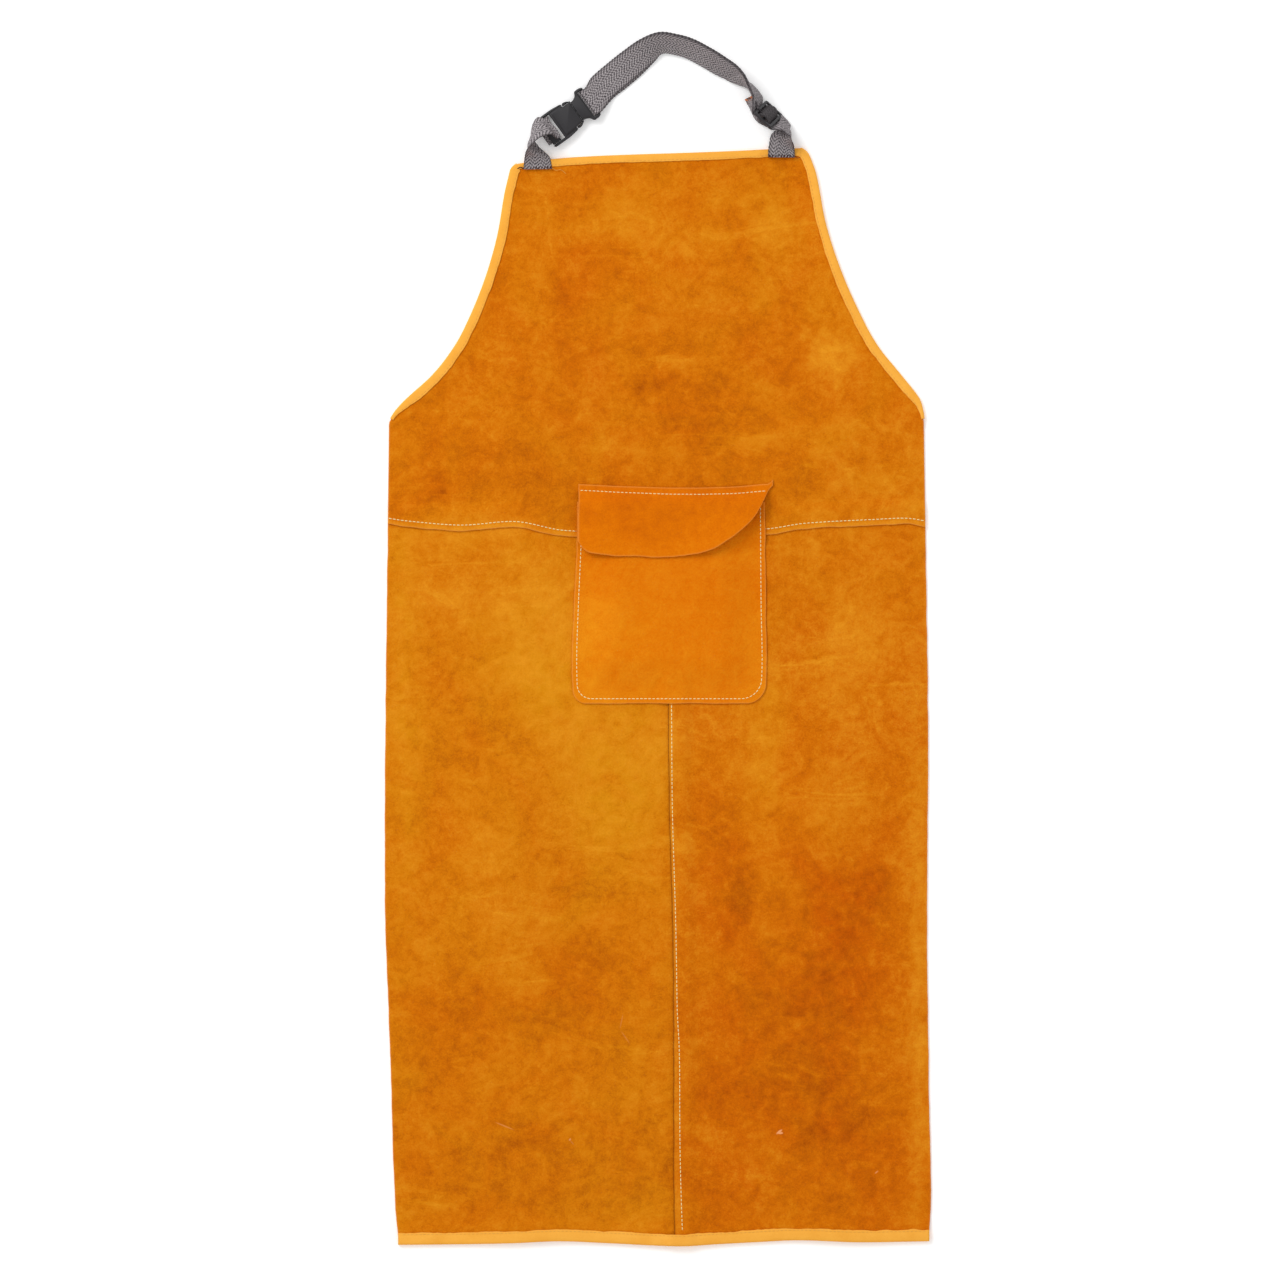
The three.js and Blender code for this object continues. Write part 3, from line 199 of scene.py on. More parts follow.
STRAP_LINE = table(
    "along up high tilt spread",
    (0.263, 0.558, 0.16, 4, 1.5), (0.32, 0.658, 0.19, 9, 2.5), (0.382, 0.758, 0.26, 17, 2.5),
    (0.448, 0.858, 0.36, 31, 1.5), (0.505, 0.917, 0.46, 47, 0.5), (0.567, 0.902, 0.5, 51, 0),
    (0.624, 0.867, 0.5, 51, 0), (0.694, 0.792, 0.5, 51, 0), (0.752, 0.72, 0.52, 53, 0.5),
    (0.801, 0.665, 0.56, 62, 3), (0.84, 0.628, 0.58, 84, 8), (0.871, 0.565, 0.57, 101, 8),
    (0.9, 0.475, 0.55, 110, 11),
)
LEFT_TAB_EDGES = table(
    "along up high far_along far_up far_high bow_x bow_y",
    (-0.061, -0.13, 0.22, 0.057, -0.125, 0.22, 0, 0),
    (-0.056, -0.033, 0.46, 0.05, -0.037, 0.17, 0, 0),
    (-0.049, 0.018, 0.8, 0.029, 0.013, 0.12, -2, 0),
    (-0.03, 0.063, 1.0, 0.003, 0.065, 0.1, -5.5, 0.5),
    (0.003, 0.122, 1.0, -0.022, 0.148, 0.12, -4.5, 1),
    (0.032, 0.148, 0.9, -0.021, 0.243, 0.16, -2.5, 1.5),
    (0.059, 0.156, 0.72, -0.004, 0.3, 0.25, 0, 0),
)
LOOP_EDGES = table(
    "along up high far_along far_up far_high",
    (1.001, 0.32, 0.14, 0.999, 0.189, 0.93),
    (1.02, 0.285, 0.1, 1.019, 0.159, 0.9),
    (1.033, 0.247, 0.1, 1.034, 0.141, 0.92),
    (1.028, 0.218, 0.08, 1.039, 0.126, 0.9),
    (1.003, 0.205, 0.07, 1.042, 0.109, 0.84),
    (0.974, 0.193, 0.07, 1.046, 0.088, 0.74),
    (0.956, 0.151, 0.1, 1.051, 0.067, 0.56),
    (0.95, 0.092, 0.15, 1.054, 0.042, 0.36),
    (0.946, 0.034, 0.22, 1.055, 0.013, 0.25),
    (0.945, -0.03, 0.23, 1.055, -0.031, 0.23),
)
TAIL_EDGES = table(
    "along up high far_along far_up far_high",
    (0.953, 0.222, 0.09, 0.945, 0.301, 0.69),
    (0.928, 0.245, 0.07, 0.929, 0.318, 0.83),
    (0.901, 0.278, 0.07, 0.912, 0.347, 0.86),
    (0.886, 0.327, 0.07, 0.902, 0.389, 0.86),
    (0.873, 0.385, 0.07, 0.89, 0.435, 0.86),
    (0.853, 0.46, 0.09, 0.875, 0.473, 0.83),
)


def along(rows, key, value, at):
    """Smooth curve through the rows of a table, by one of its columns."""
    x, y = rows[key], rows[value]
    slope = np.empty_like(y)
    slope[1:-1] = (y[2:] - y[:-2]) / (x[2:] - x[:-2])
    slope[0] = (y[1] - y[0]) / (x[1] - x[0])
    slope[-1] = (y[-1] - y[-2]) / (x[-1] - x[-2])
    at = np.clip(at, x[0], x[-1])
    i = np.clip(np.searchsorted(x, at, side="right") - 1, 0, len(x) - 2)
    span = x[i + 1] - x[i]
    t = (at - x[i]) / span
    s = 1 - t
    ends = y[i] * s * s * (1 + 2 * t) + y[i + 1] * t * t * (3 - 2 * t)
    return ends + span * (slope[i] * t * s * s - slope[i + 1] * t * t * s)


def smooth(value, start, end):
    """Smooth ramp from 0 at start to 1 at end."""
    t = np.clip((value - start) / (end - start), 0, 1)
    return t * t * (3 - 2 * t)


def lerp(a, b, t):
    return a + (b - a) * t


def lattice(i, j, seed):
    """Fixed random value from 0 to 1 for each whole point of a plane."""
    mask = np.int64(0x7FFFFFFF)
    h = (i.astype(np.int64) * 374761393 + j.astype(np.int64) * 668265263 + seed * 974634777) & mask
    h = ((h ^ (h >> 13)) * 1274126177) & mask
    return ((h ^ (h >> 16)) & 0xFFFF) / 65535


def noise(x, y, size, seed):
    """Smooth noise from -1 to 1 whose bumps are about one size wide."""
    u, v = np.asarray(x, float) / size, np.asarray(y, float) / size
    i, j = np.floor(u), np.floor(v)
    a, b = smooth(u - i, 0, 1), smooth(v - j, 0, 1)
    low = lerp(lattice(i, j, seed), lattice(i + 1, j, seed), a)
    high = lerp(lattice(i, j + 1, seed), lattice(i + 1, j + 1, seed), a)
    return 2 * lerp(low, high, b) - 1


# Shape of the leather


def side_x(y, side):
    sign = -1 if side == "left" else 1
    shoulder = APRON_WIDTH * along(SIDES, "up", side, 1)
    low = APRON_WIDTH * along(SIDES, "up", side, y / ARMHOLE_HEIGHT)
    spread = along(ARMHOLES, "down", side, (APRON_LENGTH - y) / ARMHOLE_DEPTH)
    return np.where(y <= ARMHOLE_HEIGHT, low, lerp(sign * BIB_WIDTH / 2, shoulder, spread))


def corner_inset(height):
    """How far the bib's top corners are cut round, at a height."""
    short = np.clip(TOP_CORNER - (APRON_LENGTH + 1 - height), 0, TOP_CORNER)
    return TOP_CORNER - np.sqrt(TOP_CORNER * TOP_CORNER - short * short)


def top_rise(x):
    return TOP_TILT * along(TOP_LINE, "across", "rise", x / BIB_WIDTH)


def waist_rise(x):
    return WAIST_LAP * along(WAIST_LINE, "across", "rise", x / APRON_WIDTH)


def waist_y(x):
    return WAIST_HEIGHT + waist_rise(x)


def hem_y(x):
    return -HEM_WAVE * along(HEM_LINE, "across", "drop", x / APRON_WIDTH)


def centre_x(y):
    return CENTRE_SEAM_OFFSET * along(CENTRE_LINE, "up", "left", y / WAIST_HEIGHT)


# Creases: middle, run of half the crease across X and Y, width, height and bow.
CREASES = table(
    "x y run_x run_y wide high bow",
    (60, 994, 116, -2, 4, -0.22, -3),
    (118, 938, 8, -54, 5, 0.4, 2),
    (20, 878, 48, 16, 4, 0.5, 8),
    (-98, 958, 20, -38, 5, -0.5, 3),
    (150, 815, 70, 12, 7, 0.4, 8),
    (-160, 790, 80, -4, 7, 0.4, -6),
    (168, 462, 14, -26, 3, -0.45, 13),
    (120, 424, 34, 2, 3, -0.45, 5),
    (158, 388, 22, -24, 5, 0.6, 3),
    (176, 362, 26, -18, 4, 0.5, -4),
    (82, 340, -6, -34, 9, -0.4, 6),
    (148, 338, -5, -40, 7, -0.4, 4),
    (200, 300, -10, -34, 9, -0.4, -6),
    (-150, 560, 70, 10, 8, 0.3, 9),
    (-80, 330, 60, -8, 9, 0.3, -8),
    (-120, 183, 13, -5, 2.5, 0.4, 0),
    (-190, 170, 30, 3, 7, 0.3, 5),
    (-52, 590, 8, 5, 2.6, 0.45, 0),
    (-44, 571, 4, 9, 2.6, -0.45, 0),
    (-2, 569, 5, 9, 2.4, 0.45, 0),
    (4, 566, -5, 8, 2.4, -0.45, 0),
    (11, 570, 4, 8, 2.4, 0.4, 0),
    (-48, 640, 13, 3, 3, 0.35, 2),
    (-254, 560, 5, 5, 4, 0.8, 0),
    (-222, 602, 1, 22, 3, -0.35, 2),
    (-205, 588, 3, 9, 3, 0.5, 0),
)
CREASE_WANDER = 1.4
CREASE_WANDER_SIZE = 14
REST_HEIGHT = 0.8
EDGE_DROP = 0.7


def creases(x, y):
    """Height of the small creases, which the sheets also paint into their colour as highlight on the ridges
    and shade in the valleys.
    """
    height = np.zeros(np.broadcast(x, y).shape)
    for cx, cy, run_x, run_y, wide, high, bow in zip(*CREASES.values()):
        reach = math.hypot(run_x, run_y)
        along_x, along_y = run_x / reach, run_y / reach
        s = ((x - cx) * along_x + (y - cy) * along_y) / reach
        d = (y - cy) * along_x - (x - cx) * along_y - bow * (1 - s * s)
        d = d + CREASE_WANDER * noise(x, y, CREASE_WANDER_SIZE, 31)
        height += high * np.exp(-(d / wide) ** 2) * np.clip(1 - s * s, 0, 1)
    return height


def ground(x, y):
    """Height of the leather's lower face where nothing lies under it."""
    height = REST_HEIGHT + creases(x, y) + 0.16 * noise(x, y, 42, 3) + 0.06 * noise(x, y, 13, 4)
    for across, up, wide, long, high in zip(*WAVES.values()):
        reach = np.hypot((x / APRON_WIDTH - across) / wide, (y / APRON_LENGTH - up) / long)
        height = height + WAVE_HEIGHT * high * (1 + np.cos(np.pi * np.minimum(reach, 1))) / 2
    low = smooth(y, hem_y(x) + 4, hem_y(x) + 40)
    side = np.minimum(x - side_x(y, "left"), side_x(y, "right") - x)
    height = height - EDGE_DROP * (1 - low * smooth(side, 2, 30))
    return GROUND + np.logaddexp(0, 4 * (height - GROUND)) / 4


def centre_layer(x, y):
    left = centre_x(y) - LAP_MARGIN
    right = centre_x(y) + CENTRE_LAP + LAP_MARGIN
    return smooth(x, left - STEP_RUN, left) * (1 - smooth(x, right, right + STEP_RUN))


def above_waist(x, y):
    top = waist_y(x) + WAIST_LAP + LAP_MARGIN
    return smooth(y, top, top + STEP_RUN)


def below_waist(x, y):
    return smooth(waist_y(x) - LAP_MARGIN - y, 0, STEP_RUN)


def side_gap(x, y):
    """Distance from the armhole edge, square to it, and large below the armholes."""
    gaps = []
    for side, sign in (("left", 1), ("right", -1)):
        slope = (side_x(y + 1, side) - side_x(y - 1, side)) / 2
        gaps.append(sign * (x - side_x(y, side)) / np.hypot(1, slope))
    return np.minimum(*gaps) + 60 * (1 - smooth(y, ARMHOLE_HEIGHT - 14, ARMHOLE_HEIGHT + 1))


def bound_lift(gap, width):
    return BOUND_LIFT * (1 - smooth(gap, width + LAP_MARGIN, width + LAP_MARGIN + STEP_RUN))


def upper_under(x, y):
    layers = (1 + centre_layer(x, y)) * (1 - above_waist(x, y))
    top_gap = APRON_LENGTH + top_rise(x) - y
    side_lift = bound_lift(side_gap(x, y), ARMHOLE_BINDING_WIDTH)
    lift = np.maximum(side_lift, bound_lift(top_gap, TOP_BINDING_WIDTH))
    return ground(x, y) + LAYER * layers + lift


def hem_lift(x, y):
    return bound_lift(y - hem_y(x), HEM_BINDING_WIDTH)


def left_under(x, y):
    return ground(x, y) + hem_lift(x, y)


def right_under(x, y):
    step = centre_x(y) + CENTRE_LAP + LAP_MARGIN
    return ground(x, y) + hem_lift(x, y) + LAYER * (1 - smooth(x, step, step + STEP_RUN))


def cover_top(x, y):
    """Top face of everything that the pocket lies on."""
    waist = (1 - above_waist(x, y)) * (1 - below_waist(x, y))
    centre = centre_layer(x, y) * (1 - above_waist(x, y))
    return ground(x, y) + LEATHER + LAYER * (waist + centre)


# Meshes


ORIGIN_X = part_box("lower_left_panel")[1].x / MM - float(centre_x(0)) - CENTRE_LAP
ORIGIN_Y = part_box("pocket")[0].y / MM - POCKET_BOTTOM


def make_mesh(name, points, faces, replaces=(), attributes=None):
    """Piece from points in the apron's frame, riding on the part."""
    moved = (np.asarray(points, float) + [ORIGIN_X, ORIGIN_Y, 0]) * MM
    mesh = bpy.data.meshes.new(name)
    mesh.from_pydata(moved.tolist(), [], [list(map(int, face)) for face in faces])
    for key, values in (attributes or {}).items():
        attribute = mesh.attributes.new(key, "FLOAT", "POINT")
        attribute.data.foreach_set("value", np.asarray(values, np.float32).ravel())
    mesh.polygons.foreach_set("use_smooth", np.ones(len(mesh.polygons), bool))
    mesh.update()
    piece = bpy.data.objects.new(name, mesh)
    bpy.context.scene.collection.objects.link(piece)
    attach(piece, "root")
    if replaces:
        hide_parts(*replaces)
    return piece


def grid_faces(columns, rows):
    """Faces of a closed sheet whose lower points come first, then its upper ones."""
    low = np.arange(columns * rows).reshape(columns, rows)
    high = low + columns * rows
    top = np.stack([high[:-1, :-1], high[1:, :-1], high[1:, 1:], high[:-1, 1:]], -1).reshape(-1, 4)
    under = np.stack([low[:-1, :-1], low[:-1, 1:], low[1:, 1:], low[1:, :-1]], -1).reshape(-1, 4)
    loop = np.concatenate([low[:-1, 0], low[-1, :-1], low[:0:-1, -1], low[0, :0:-1]])
    ahead = np.roll(loop, -1)
    wall = np.stack([loop, ahead, ahead + columns * rows, loop + columns * rows], -1)
    return np.concatenate([top, under, wall])


def tube_faces(stations, size):
    """Faces of a closed tube, from a ring of points at each station."""
    index = np.arange(stations * size).reshape(stations, size)
    turned = np.roll(index, -1, 1)
    faces = np.stack([index[:-1], index[1:], turned[1:], turned[:-1]], -1).reshape(-1, 4).tolist()
    faces += [index[0].tolist(), index[-1][::-1].tolist()]
    return faces


def leather_tone(x, y):
    """Light and dark of the hide, as charted in the table of stains."""
    light = np.zeros_like(x)
    warm = np.zeros_like(x)
    for cx, cy, wide, long, pale, red in zip(*STAINS.values()):
        u = (x - cx) / wide + 0.35 * noise(x, y, 0.8 * min(wide, long), 51)
        v = (y - cy) / long + 0.35 * noise(x, y, 0.8 * min(wide, long), 52)
        share = np.exp(-(u * u + v * v)) * (1 + 0.45 * noise(x, y, 7, 53))
        light += pale * share
        warm += red * share
    return light, warm


# Stains of the hide: middle, half width and length, lightness and redness.
STAINS = table(
    "x y wide long pale red",
    (0, 745, 290, 30, -0.4, 0.1),
    (-215, 770, 60, 40, -0.25, 0.1),
    (-190, 735, 80, 22, 0.3, -0.3),
    (200, 744, 90, 32, 0.6, -0.4),
    (172, 902, 14, 16, 0.7, -0.5),
    (182, 882, 9, 20, 0.6, -0.4),
    (161, 888, 8, 11, 0.55, -0.4),
    (194, 898, 7, 14, 0.6, -0.3),
    (150, 916, 7, 6, 0.4, -0.3),
    (-66, 1038, 54, 22, 0.25, -0.4),
    (30, 1016, 50, 22, 0.25, -0.4),
    (66, 1058, 44, 14, 0.2, -0.4),
    (120, 1050, 16, 30, 0.2, -0.4),
    (-10, 868, 34, 16, -0.45, 0.3),
    (22, 836, 44, 20, -0.3, 0.2),
    (56, 812, 34, 22, -0.25, 0.2),
    (-110, 866, 70, 40, 0.1, 0),
    (110, 975, 12, 60, 0.2, -0.4),
    (-96, 950, 12, 60, -0.25, 0.3),
    (-80, 1010, 24, 40, -0.15, 0.3),
    (160, 812, 70, 16, 0.2, -0.4),
    (90, 808, 30, 10, 0.25, -0.3),
    (-40, 802, 60, 9, 0.3, -0.3),
    (-254, 500, 18, 220, 0.1, -0.6),
    (-110, 600, 70, 90, 0.25, -0.8),
    (-40, 470, 60, 130, 0.2, -0.8),
    (-150, 350, 100, 90, 0.0, -0.1),
    (-60, 270, 90, 60, -0.2, 0.4),
    (-170, 230, 80, 60, -0.25, 0.3),
    (-30, 160, 40, 90, -0.1, -0.3),
    (-140, 90, 150, 70, -0.3, 0.2),
    (-40, 50, 60, 40, -0.1, -0.4),
    (170, 600, 70, 60, 0.2, -0.3),
    (110, 500, 18, 60, 0.35, -0.6),
    (52, 460, 30, 50, -0.15, 0.2),
    (190, 430, 60, 50, 0.1, -0.2),
    (200, 360, 44, 60, -0.3, 0.5),
    (60, 380, 30, 60, -0.2, 0.4),
    (190, 300, 60, 60, -0.3, 0.5),
    (80, 330, 16, 50, -0.3, 0.4),
    (140, 200, 100, 80, -0.3, 0.4),
    (60, 110, 40, 80, -0.15, 0.3),
    (190, 110, 60, 60, -0.35, 0.3),
    (150, 40, 90, 40, -0.2, 0.2),
    (264, 250, 9, 260, 0.5, -0.3),
)


# Flat width and length of each sheet, with an allowance for its waves
WAVE_ALLOWANCE = 1.01


def sheet(name, x, y, under, node, tint=(0, 0), shaded_seam_edge=False, strip=0):
    """Sheet of leather over a grid of places, with rounded cut edges."""
    gap = edge_distance(*x.shape)
    rounding = 0.35 * np.clip(1 - gap / 0.7, 0, 1) ** 2
    low = np.stack([x, y, under + rounding], -1)
    high = np.stack([x, y, under + LEATHER - rounding], -1)
    points = np.concatenate([low.reshape(-1, 3), high.reshape(-1, 3)])
    light, warm = leather_tone(x, y)
    # The creases add painted highlight on their ridges and painted shade in their valleys.
    light = light + tint[0] + strip + 0.5 * creases(x, y)
    warm = warm + tint[1]
    edge = np.clip(1 - gap / 1.6, 0, 1)
    # Along the centre seam the first columns of the edge go negative: painted shade on the cut edge.
    if shaded_seam_edge:
        edge[:4] = -np.array([1, 1, 0.7, 0.1])[:, None]
    np.ptp(x) * MM * WAVE_ALLOWANCE
    np.ptp(y) * MM * WAVE_ALLOWANCE
    twice = {key: np.concatenate([v.ravel(), v.ravel()]) for key, v in
             (("light", light), ("warm", warm), ("edge", edge))}
    return make_mesh(name, points, grid_faces(*x.shape), [node], twice)


EDGE_STEPS = np.array([0, 0.25, 0.7, 1.5, 2.8])


def span(start, end, count):
    """Points from start to end along the first axis, close together next to both ends."""
    start, end = np.asarray(start, float), np.asarray(end, float)
    steps = EDGE_STEPS.reshape((-1,) + (1,) * start.ndim)
    share = np.linspace(0, 1, count).reshape((-1,) + (1,) * start.ndim)
    inner = lerp(start + EDGE_STEPS[-1], end - EDGE_STEPS[-1], share)
    return np.concatenate([start + steps[:-1], inner, end - steps[-2::-1]])


def edge_distance(columns, rows):
    """Distance of each grid point from the nearest edge, near enough next to it."""
    def steps(count):
        inner = np.full(count - 2 * len(EDGE_STEPS) + 2, EDGE_STEPS[-1])
        return np.concatenate([EDGE_STEPS[:-1], inner, EDGE_STEPS[-2::-1]])
    return np.minimum(steps(columns)[:, None], steps(rows)[None, :])


def ragged(length, seed, size=1):
    """How far a cut edge that isn't bound wanders in and out, along its length."""
    return size * (0.45 * noise(length, 0 * length, 17, seed) + 0.2 * noise(length, 0 * length, 5, seed + 1))


def centre_stitch_x(y):
    return centre_x(y) + along(CENTRE_STITCH, "up", "inset", y)


# Upper panel
WAIST_FADE = ([721, 750, 774.5, 801, 828], [1, 1, 0.5, 0.2, 0])
TOP_BLEND = ([828, 1052, 1079, 1100], [0, 0.82, 1, 1])


def upper_y(x, height):
    waist, top = np.interp(height, *WAIST_FADE), np.interp(height, *TOP_BLEND)
    return height + waist * waist_rise(x) + top * top_rise(x)


heights = span(WAIST_HEIGHT, APRON_LENGTH, 122)
cut = corner_inset(heights)
x = span(side_x(heights, "left") + cut, side_x(heights, "right") - cut, 168)
h = np.broadcast_to(heights, x.shape)
y = upper_y(x, h)
lip = 1 - smooth(y - waist_y(x), 0, 6)
y = y + lip * ragged(x, 61, 1.2)
# The strip below the waist stitches is painted highlight on the raised waist lip.
upper_panel = sheet("bib_leather", x, y, upper_under(x, y), "upper_panel",
                    strip=0.5 * (1 - smooth(y - waist_y(x), 3.5, 6.5)))

# Lower panels


def lower_grid(left, right, columns):
    heights = span(0, WAIST_HEIGHT + WAIST_LAP, 232)
    x = span(left(heights), right(heights), columns)
    h = np.broadcast_to(heights, x.shape)
    share = h / (WAIST_HEIGHT + WAIST_LAP)
    return x, lerp(hem_y(x), waist_y(x) + WAIST_LAP, share)


x, y = lower_grid(lambda h: side_x(h, "left") + ragged(h, 63, 0.6),
                  lambda h: centre_x(h) + CENTRE_LAP, 92)
lower_left_panel = sheet("skirt_left_leather", x, y, left_under(x, y), "lower_left_panel", (0.1, -0.35))
x, y = lower_grid(lambda h: centre_x(h) + ragged(h, 65, 0.7),
                  lambda h: side_x(h, "right") + ragged(h, 67, 0.6), 84)
# Its left edge carries painted shade along the centre seam.
lower_right_panel = sheet("skirt_right_leather", x, y, right_under(x, y), "lower_right_panel",
                          (0.08, 0.13), True,
                          0.45 * (1 - smooth(x - centre_stitch_x(y), -1.5, 0.5)))

# Pocket


def pocket_x(y, side):
    up = (y - POCKET_BOTTOM) / POCKET_HEIGHT
    edge = POCKET_OFFSET + POCKET_WIDTH * along(POCKET_SIDES, "up", side, up)
    radius = POCKET_CORNERS[side]
    short = radius - np.clip(y - POCKET_BOTTOM, 0, radius)
    inset = radius - np.sqrt(np.maximum(radius * radius - short * short, 0))
    return edge + inset * (1 if side == "left" else -1)


def pocket_swell(x, y):
    """Share of the pocket's depth, none at its sewn edges and all of it in the middle."""
    left = smooth(x - pocket_x(y, "left"), POCKET_RIM - 2, POCKET_RIM + POCKET_SWELL_RUN)
    right = smooth(pocket_x(y, "right") - x, POCKET_RIM - 2, POCKET_RIM + POCKET_SWELL_RUN)
    up = smooth(y - POCKET_BOTTOM, POCKET_RIM - 2, POCKET_RIM + POCKET_SWELL_RUN)
    return left * right * up


def pocket_under(x, y):
    rim = cover_top(x, y) + CLEARANCE
    roof = ground(x, y) + LEATHER + POCKET_DEPTH + 0.25 * noise(x, y, 23, 71)
    return lerp(rim, np.maximum(roof, rim), pocket_swell(x, y))


heights = span(POCKET_BOTTOM, POCKET_MOUTH, 78)
x = span(pocket_x(heights, "left") + ragged(heights, 73, 0.9),
         pocket_x(heights, "right") + ragged(heights, 75, 0.8), 76)
h = np.broadcast_to(heights, x.shape)
y = h + ragged(x, 77, 0.9) * (1 - smooth(h - POCKET_BOTTOM, 0, 20))
pocket = sheet("pocket_leather", x, y, pocket_under(x, y), "pocket", (0.25, 0.35))

# Flap
FLAP_TOP = POCKET_MOUTH + FLAP_RISE
FLAP_OVER = LEATHER + POCKET_DEPTH + LEATHER + 3 * CLEARANCE


def flap_under(x, y):
    across = (x - POCKET_OFFSET) / POCKET_WIDTH
    top = FLAP_TOP - FLAP_HEM * along(FLAP_LINE, "across", "sag", across)
    above = (y - POCKET_MOUTH) / FLAP_RISE
    rise = np.interp(-above, [-0.66, -0.35, 0, 0.25, 0.61], [0, 0.42, 0.86, 0.96, 1])
    base = LEATHER + CLEARANCE
    edge = lerp(0.7, 1, smooth(across, -0.47, -0.36))
    curl = FLAP_CURL * smooth(across, 0, 0.44) * np.clip((top - y) / FLAP_LENGTH, 0, 1) ** 1.2
    return ground(x, y) + base + (FLAP_OVER - base) * rise * edge + curl + 0.3 * noise(x, y, 19, 81)


across = span(-0.47 * POCKET_WIDTH, 0.54 * POCKET_WIDTH, 74) / POCKET_WIDTH
top = FLAP_TOP - FLAP_HEM * along(FLAP_LINE, "across", "sag", across)
bottom = top - FLAP_LENGTH * along(FLAP_LINE, "across", "long", across)
y = span(bottom + ragged(across * POCKET_WIDTH, 83, 1.1), np.maximum(top, bottom + 6), 34).T
x = np.broadcast_to((POCKET_OFFSET + POCKET_WIDTH * across)[:, None], y.shape)
x = x + ragged(y, 85, 0.8) * (1 - smooth(x - x.min(), 0, 12))
pocket_flap = sheet("flap_leather", x, y, flap_under(x, y), "pocket_flap", (0.02, 0.12))

# Bindings: leather folded over an edge. A station is a point of the edge with the way inwards.
FOLD_STEPS = 6

# Upper face of a binding from its free end to the fold: share of its width, height of the crown and swell.
BINDING_PROFILE = (
    (1, 0.3, 0), (0.99, 0.75, 0), (0.95, 0.95, 0.05), (0.86, 1, 0.12), (0.78, 0.9, 0), (0.7, 1, 0.12),
    (0.5, 1, 0.3), (0.28, 1, 0.3), (0.12, 1, 0.12),
)


def binding(name, edge, inward, width, under, over, seed, replaces):
    """Folded strip along an edge, from its upper free end round the fold to its lower one."""
    edge, inward = np.asarray(edge, float), np.asarray(inward, float)
    run = np.concatenate([[0], np.cumsum(np.hypot(*np.diff(edge, axis=0).T))])
    wander = 1 + 0.05 * noise(run, 0 * run, 13, seed) + 0.03 * noise(run, 0 * run, 4, seed + 2)
    width = np.broadcast_to(width, len(edge)) * wander
    puff = 0.12 * np.abs(np.sin(math.pi * run / STITCH_PITCH)) + 0.1 * noise(run, 0 * run, 9, seed + 1)
    outer, inner = [], []

    def place_at(gap):
        place = edge + inward * np.maximum(gap, 0)[:, None]
        return place, place[:, 0], place[:, 1]

    for share, crown, swell in BINDING_PROFILE:
        place, x, y = place_at(width * share)
        face = over(x, y) + CLEARANCE
        outer.append(np.column_stack([place, face + crown * BINDING + swell * (0.5 + puff)]))
        inner.append(np.column_stack([place, face + 0.04 + 0.3 * swell]))
    place, x, y = place_at(width * 0)
    high, bottom = over(x, y) + CLEARANCE, under(x, y) - CLEARANCE
    for step in range(1, FOLD_STEPS):
        turn = math.pi * (0.5 - step / FOLD_STEPS)
        middle, half = (high + bottom) / 2, (high - bottom) / 2
        reach = -inward * (0.5 * CLEARANCE + BINDING) * math.cos(turn)
        outer.append(np.column_stack([edge + reach, middle + (half + BINDING) * math.sin(turn)]))
        bend = inward * 0.5 * CLEARANCE * math.cos(turn)
        inner.append(np.column_stack([edge - bend, middle + half * math.sin(turn)]))
    for share in (0.1, 0.5, 0.97):
        place, x, y = place_at(width * share)
        face = under(x, y) - CLEARANCE
        outer.append(np.column_stack([place, face - BINDING]))
        inner.append(np.column_stack([place, face]))
    rings = np.stack(outer + inner[::-1], 1)
    stations, size = rings.shape[:2]
    faces = tube_faces(stations, size)
    rim = [1, 0.6, 0.15] + [0] * (size - 3)
    values = {"rim": np.tile(rim, stations), "run": np.repeat(run, size)}
    piece = make_mesh(name, rings.reshape(-1, 3), faces, replaces, values)
    recalculate_normals(piece)
    return piece



def recalculate_normals(piece):
    work = bmesh.new()
    work.from_mesh(piece.data)
    bmesh.ops.recalc_face_normals(work, faces=work.faces)
    work.to_mesh(piece.data)
    work.free()


def hem_over(x, y):
    return left_under(x, y) + LEATHER + LAYER * centre_layer(x, y)


def upper_over(x, y):
    return upper_under(x, y) + LEATHER


hem_x = np.linspace(side_x(0, "left") - 0.6, side_x(0, "right") + 0.6, 270)
hem_edge = np.column_stack([hem_x, hem_y(hem_x)])
hem_binding = binding("hem_binding_leather", hem_edge, np.tile([0, 1], (len(hem_x), 1)),
                      0.92 * HEM_BINDING_WIDTH, left_under, hem_over, 91, ["hem_binding"])


def armhole_edge(side):
    heights = np.concatenate([np.linspace(ARMHOLE_HEIGHT + 4, APRON_LENGTH - 6, 186),
                              APRON_LENGTH + 0.7 - 6.2 * (1 - np.sin(np.linspace(0.1, 1, 10) * math.pi / 2))])
    sign = 1 if side == "left" else -1
    x = side_x(heights, side) + sign * (corner_inset(heights) - 0.2)
    edge = np.column_stack([x, upper_y(x, heights)])
    ahead = np.gradient(edge, axis=0)
    ahead /= np.linalg.norm(ahead, axis=1)[:, None]
    inward = np.column_stack([ahead[:, 1], -ahead[:, 0]]) * sign
    down = (APRON_LENGTH - heights) / ARMHOLE_DEPTH
    width = 0.9 * ARMHOLE_BINDING_WIDTH * lerp(1, 0.3, smooth(down, 0.88, 0.985))
    return edge, inward, width


armhole_bindings = []
for side, seed in (("left", 93), ("right", 95)):
    edge, inward, width = armhole_edge(side)
    armhole_bindings.append(binding(side + "_armhole_leather", edge, inward, width,
                                    upper_under, upper_over, seed, [side + "_armhole_binding"]))

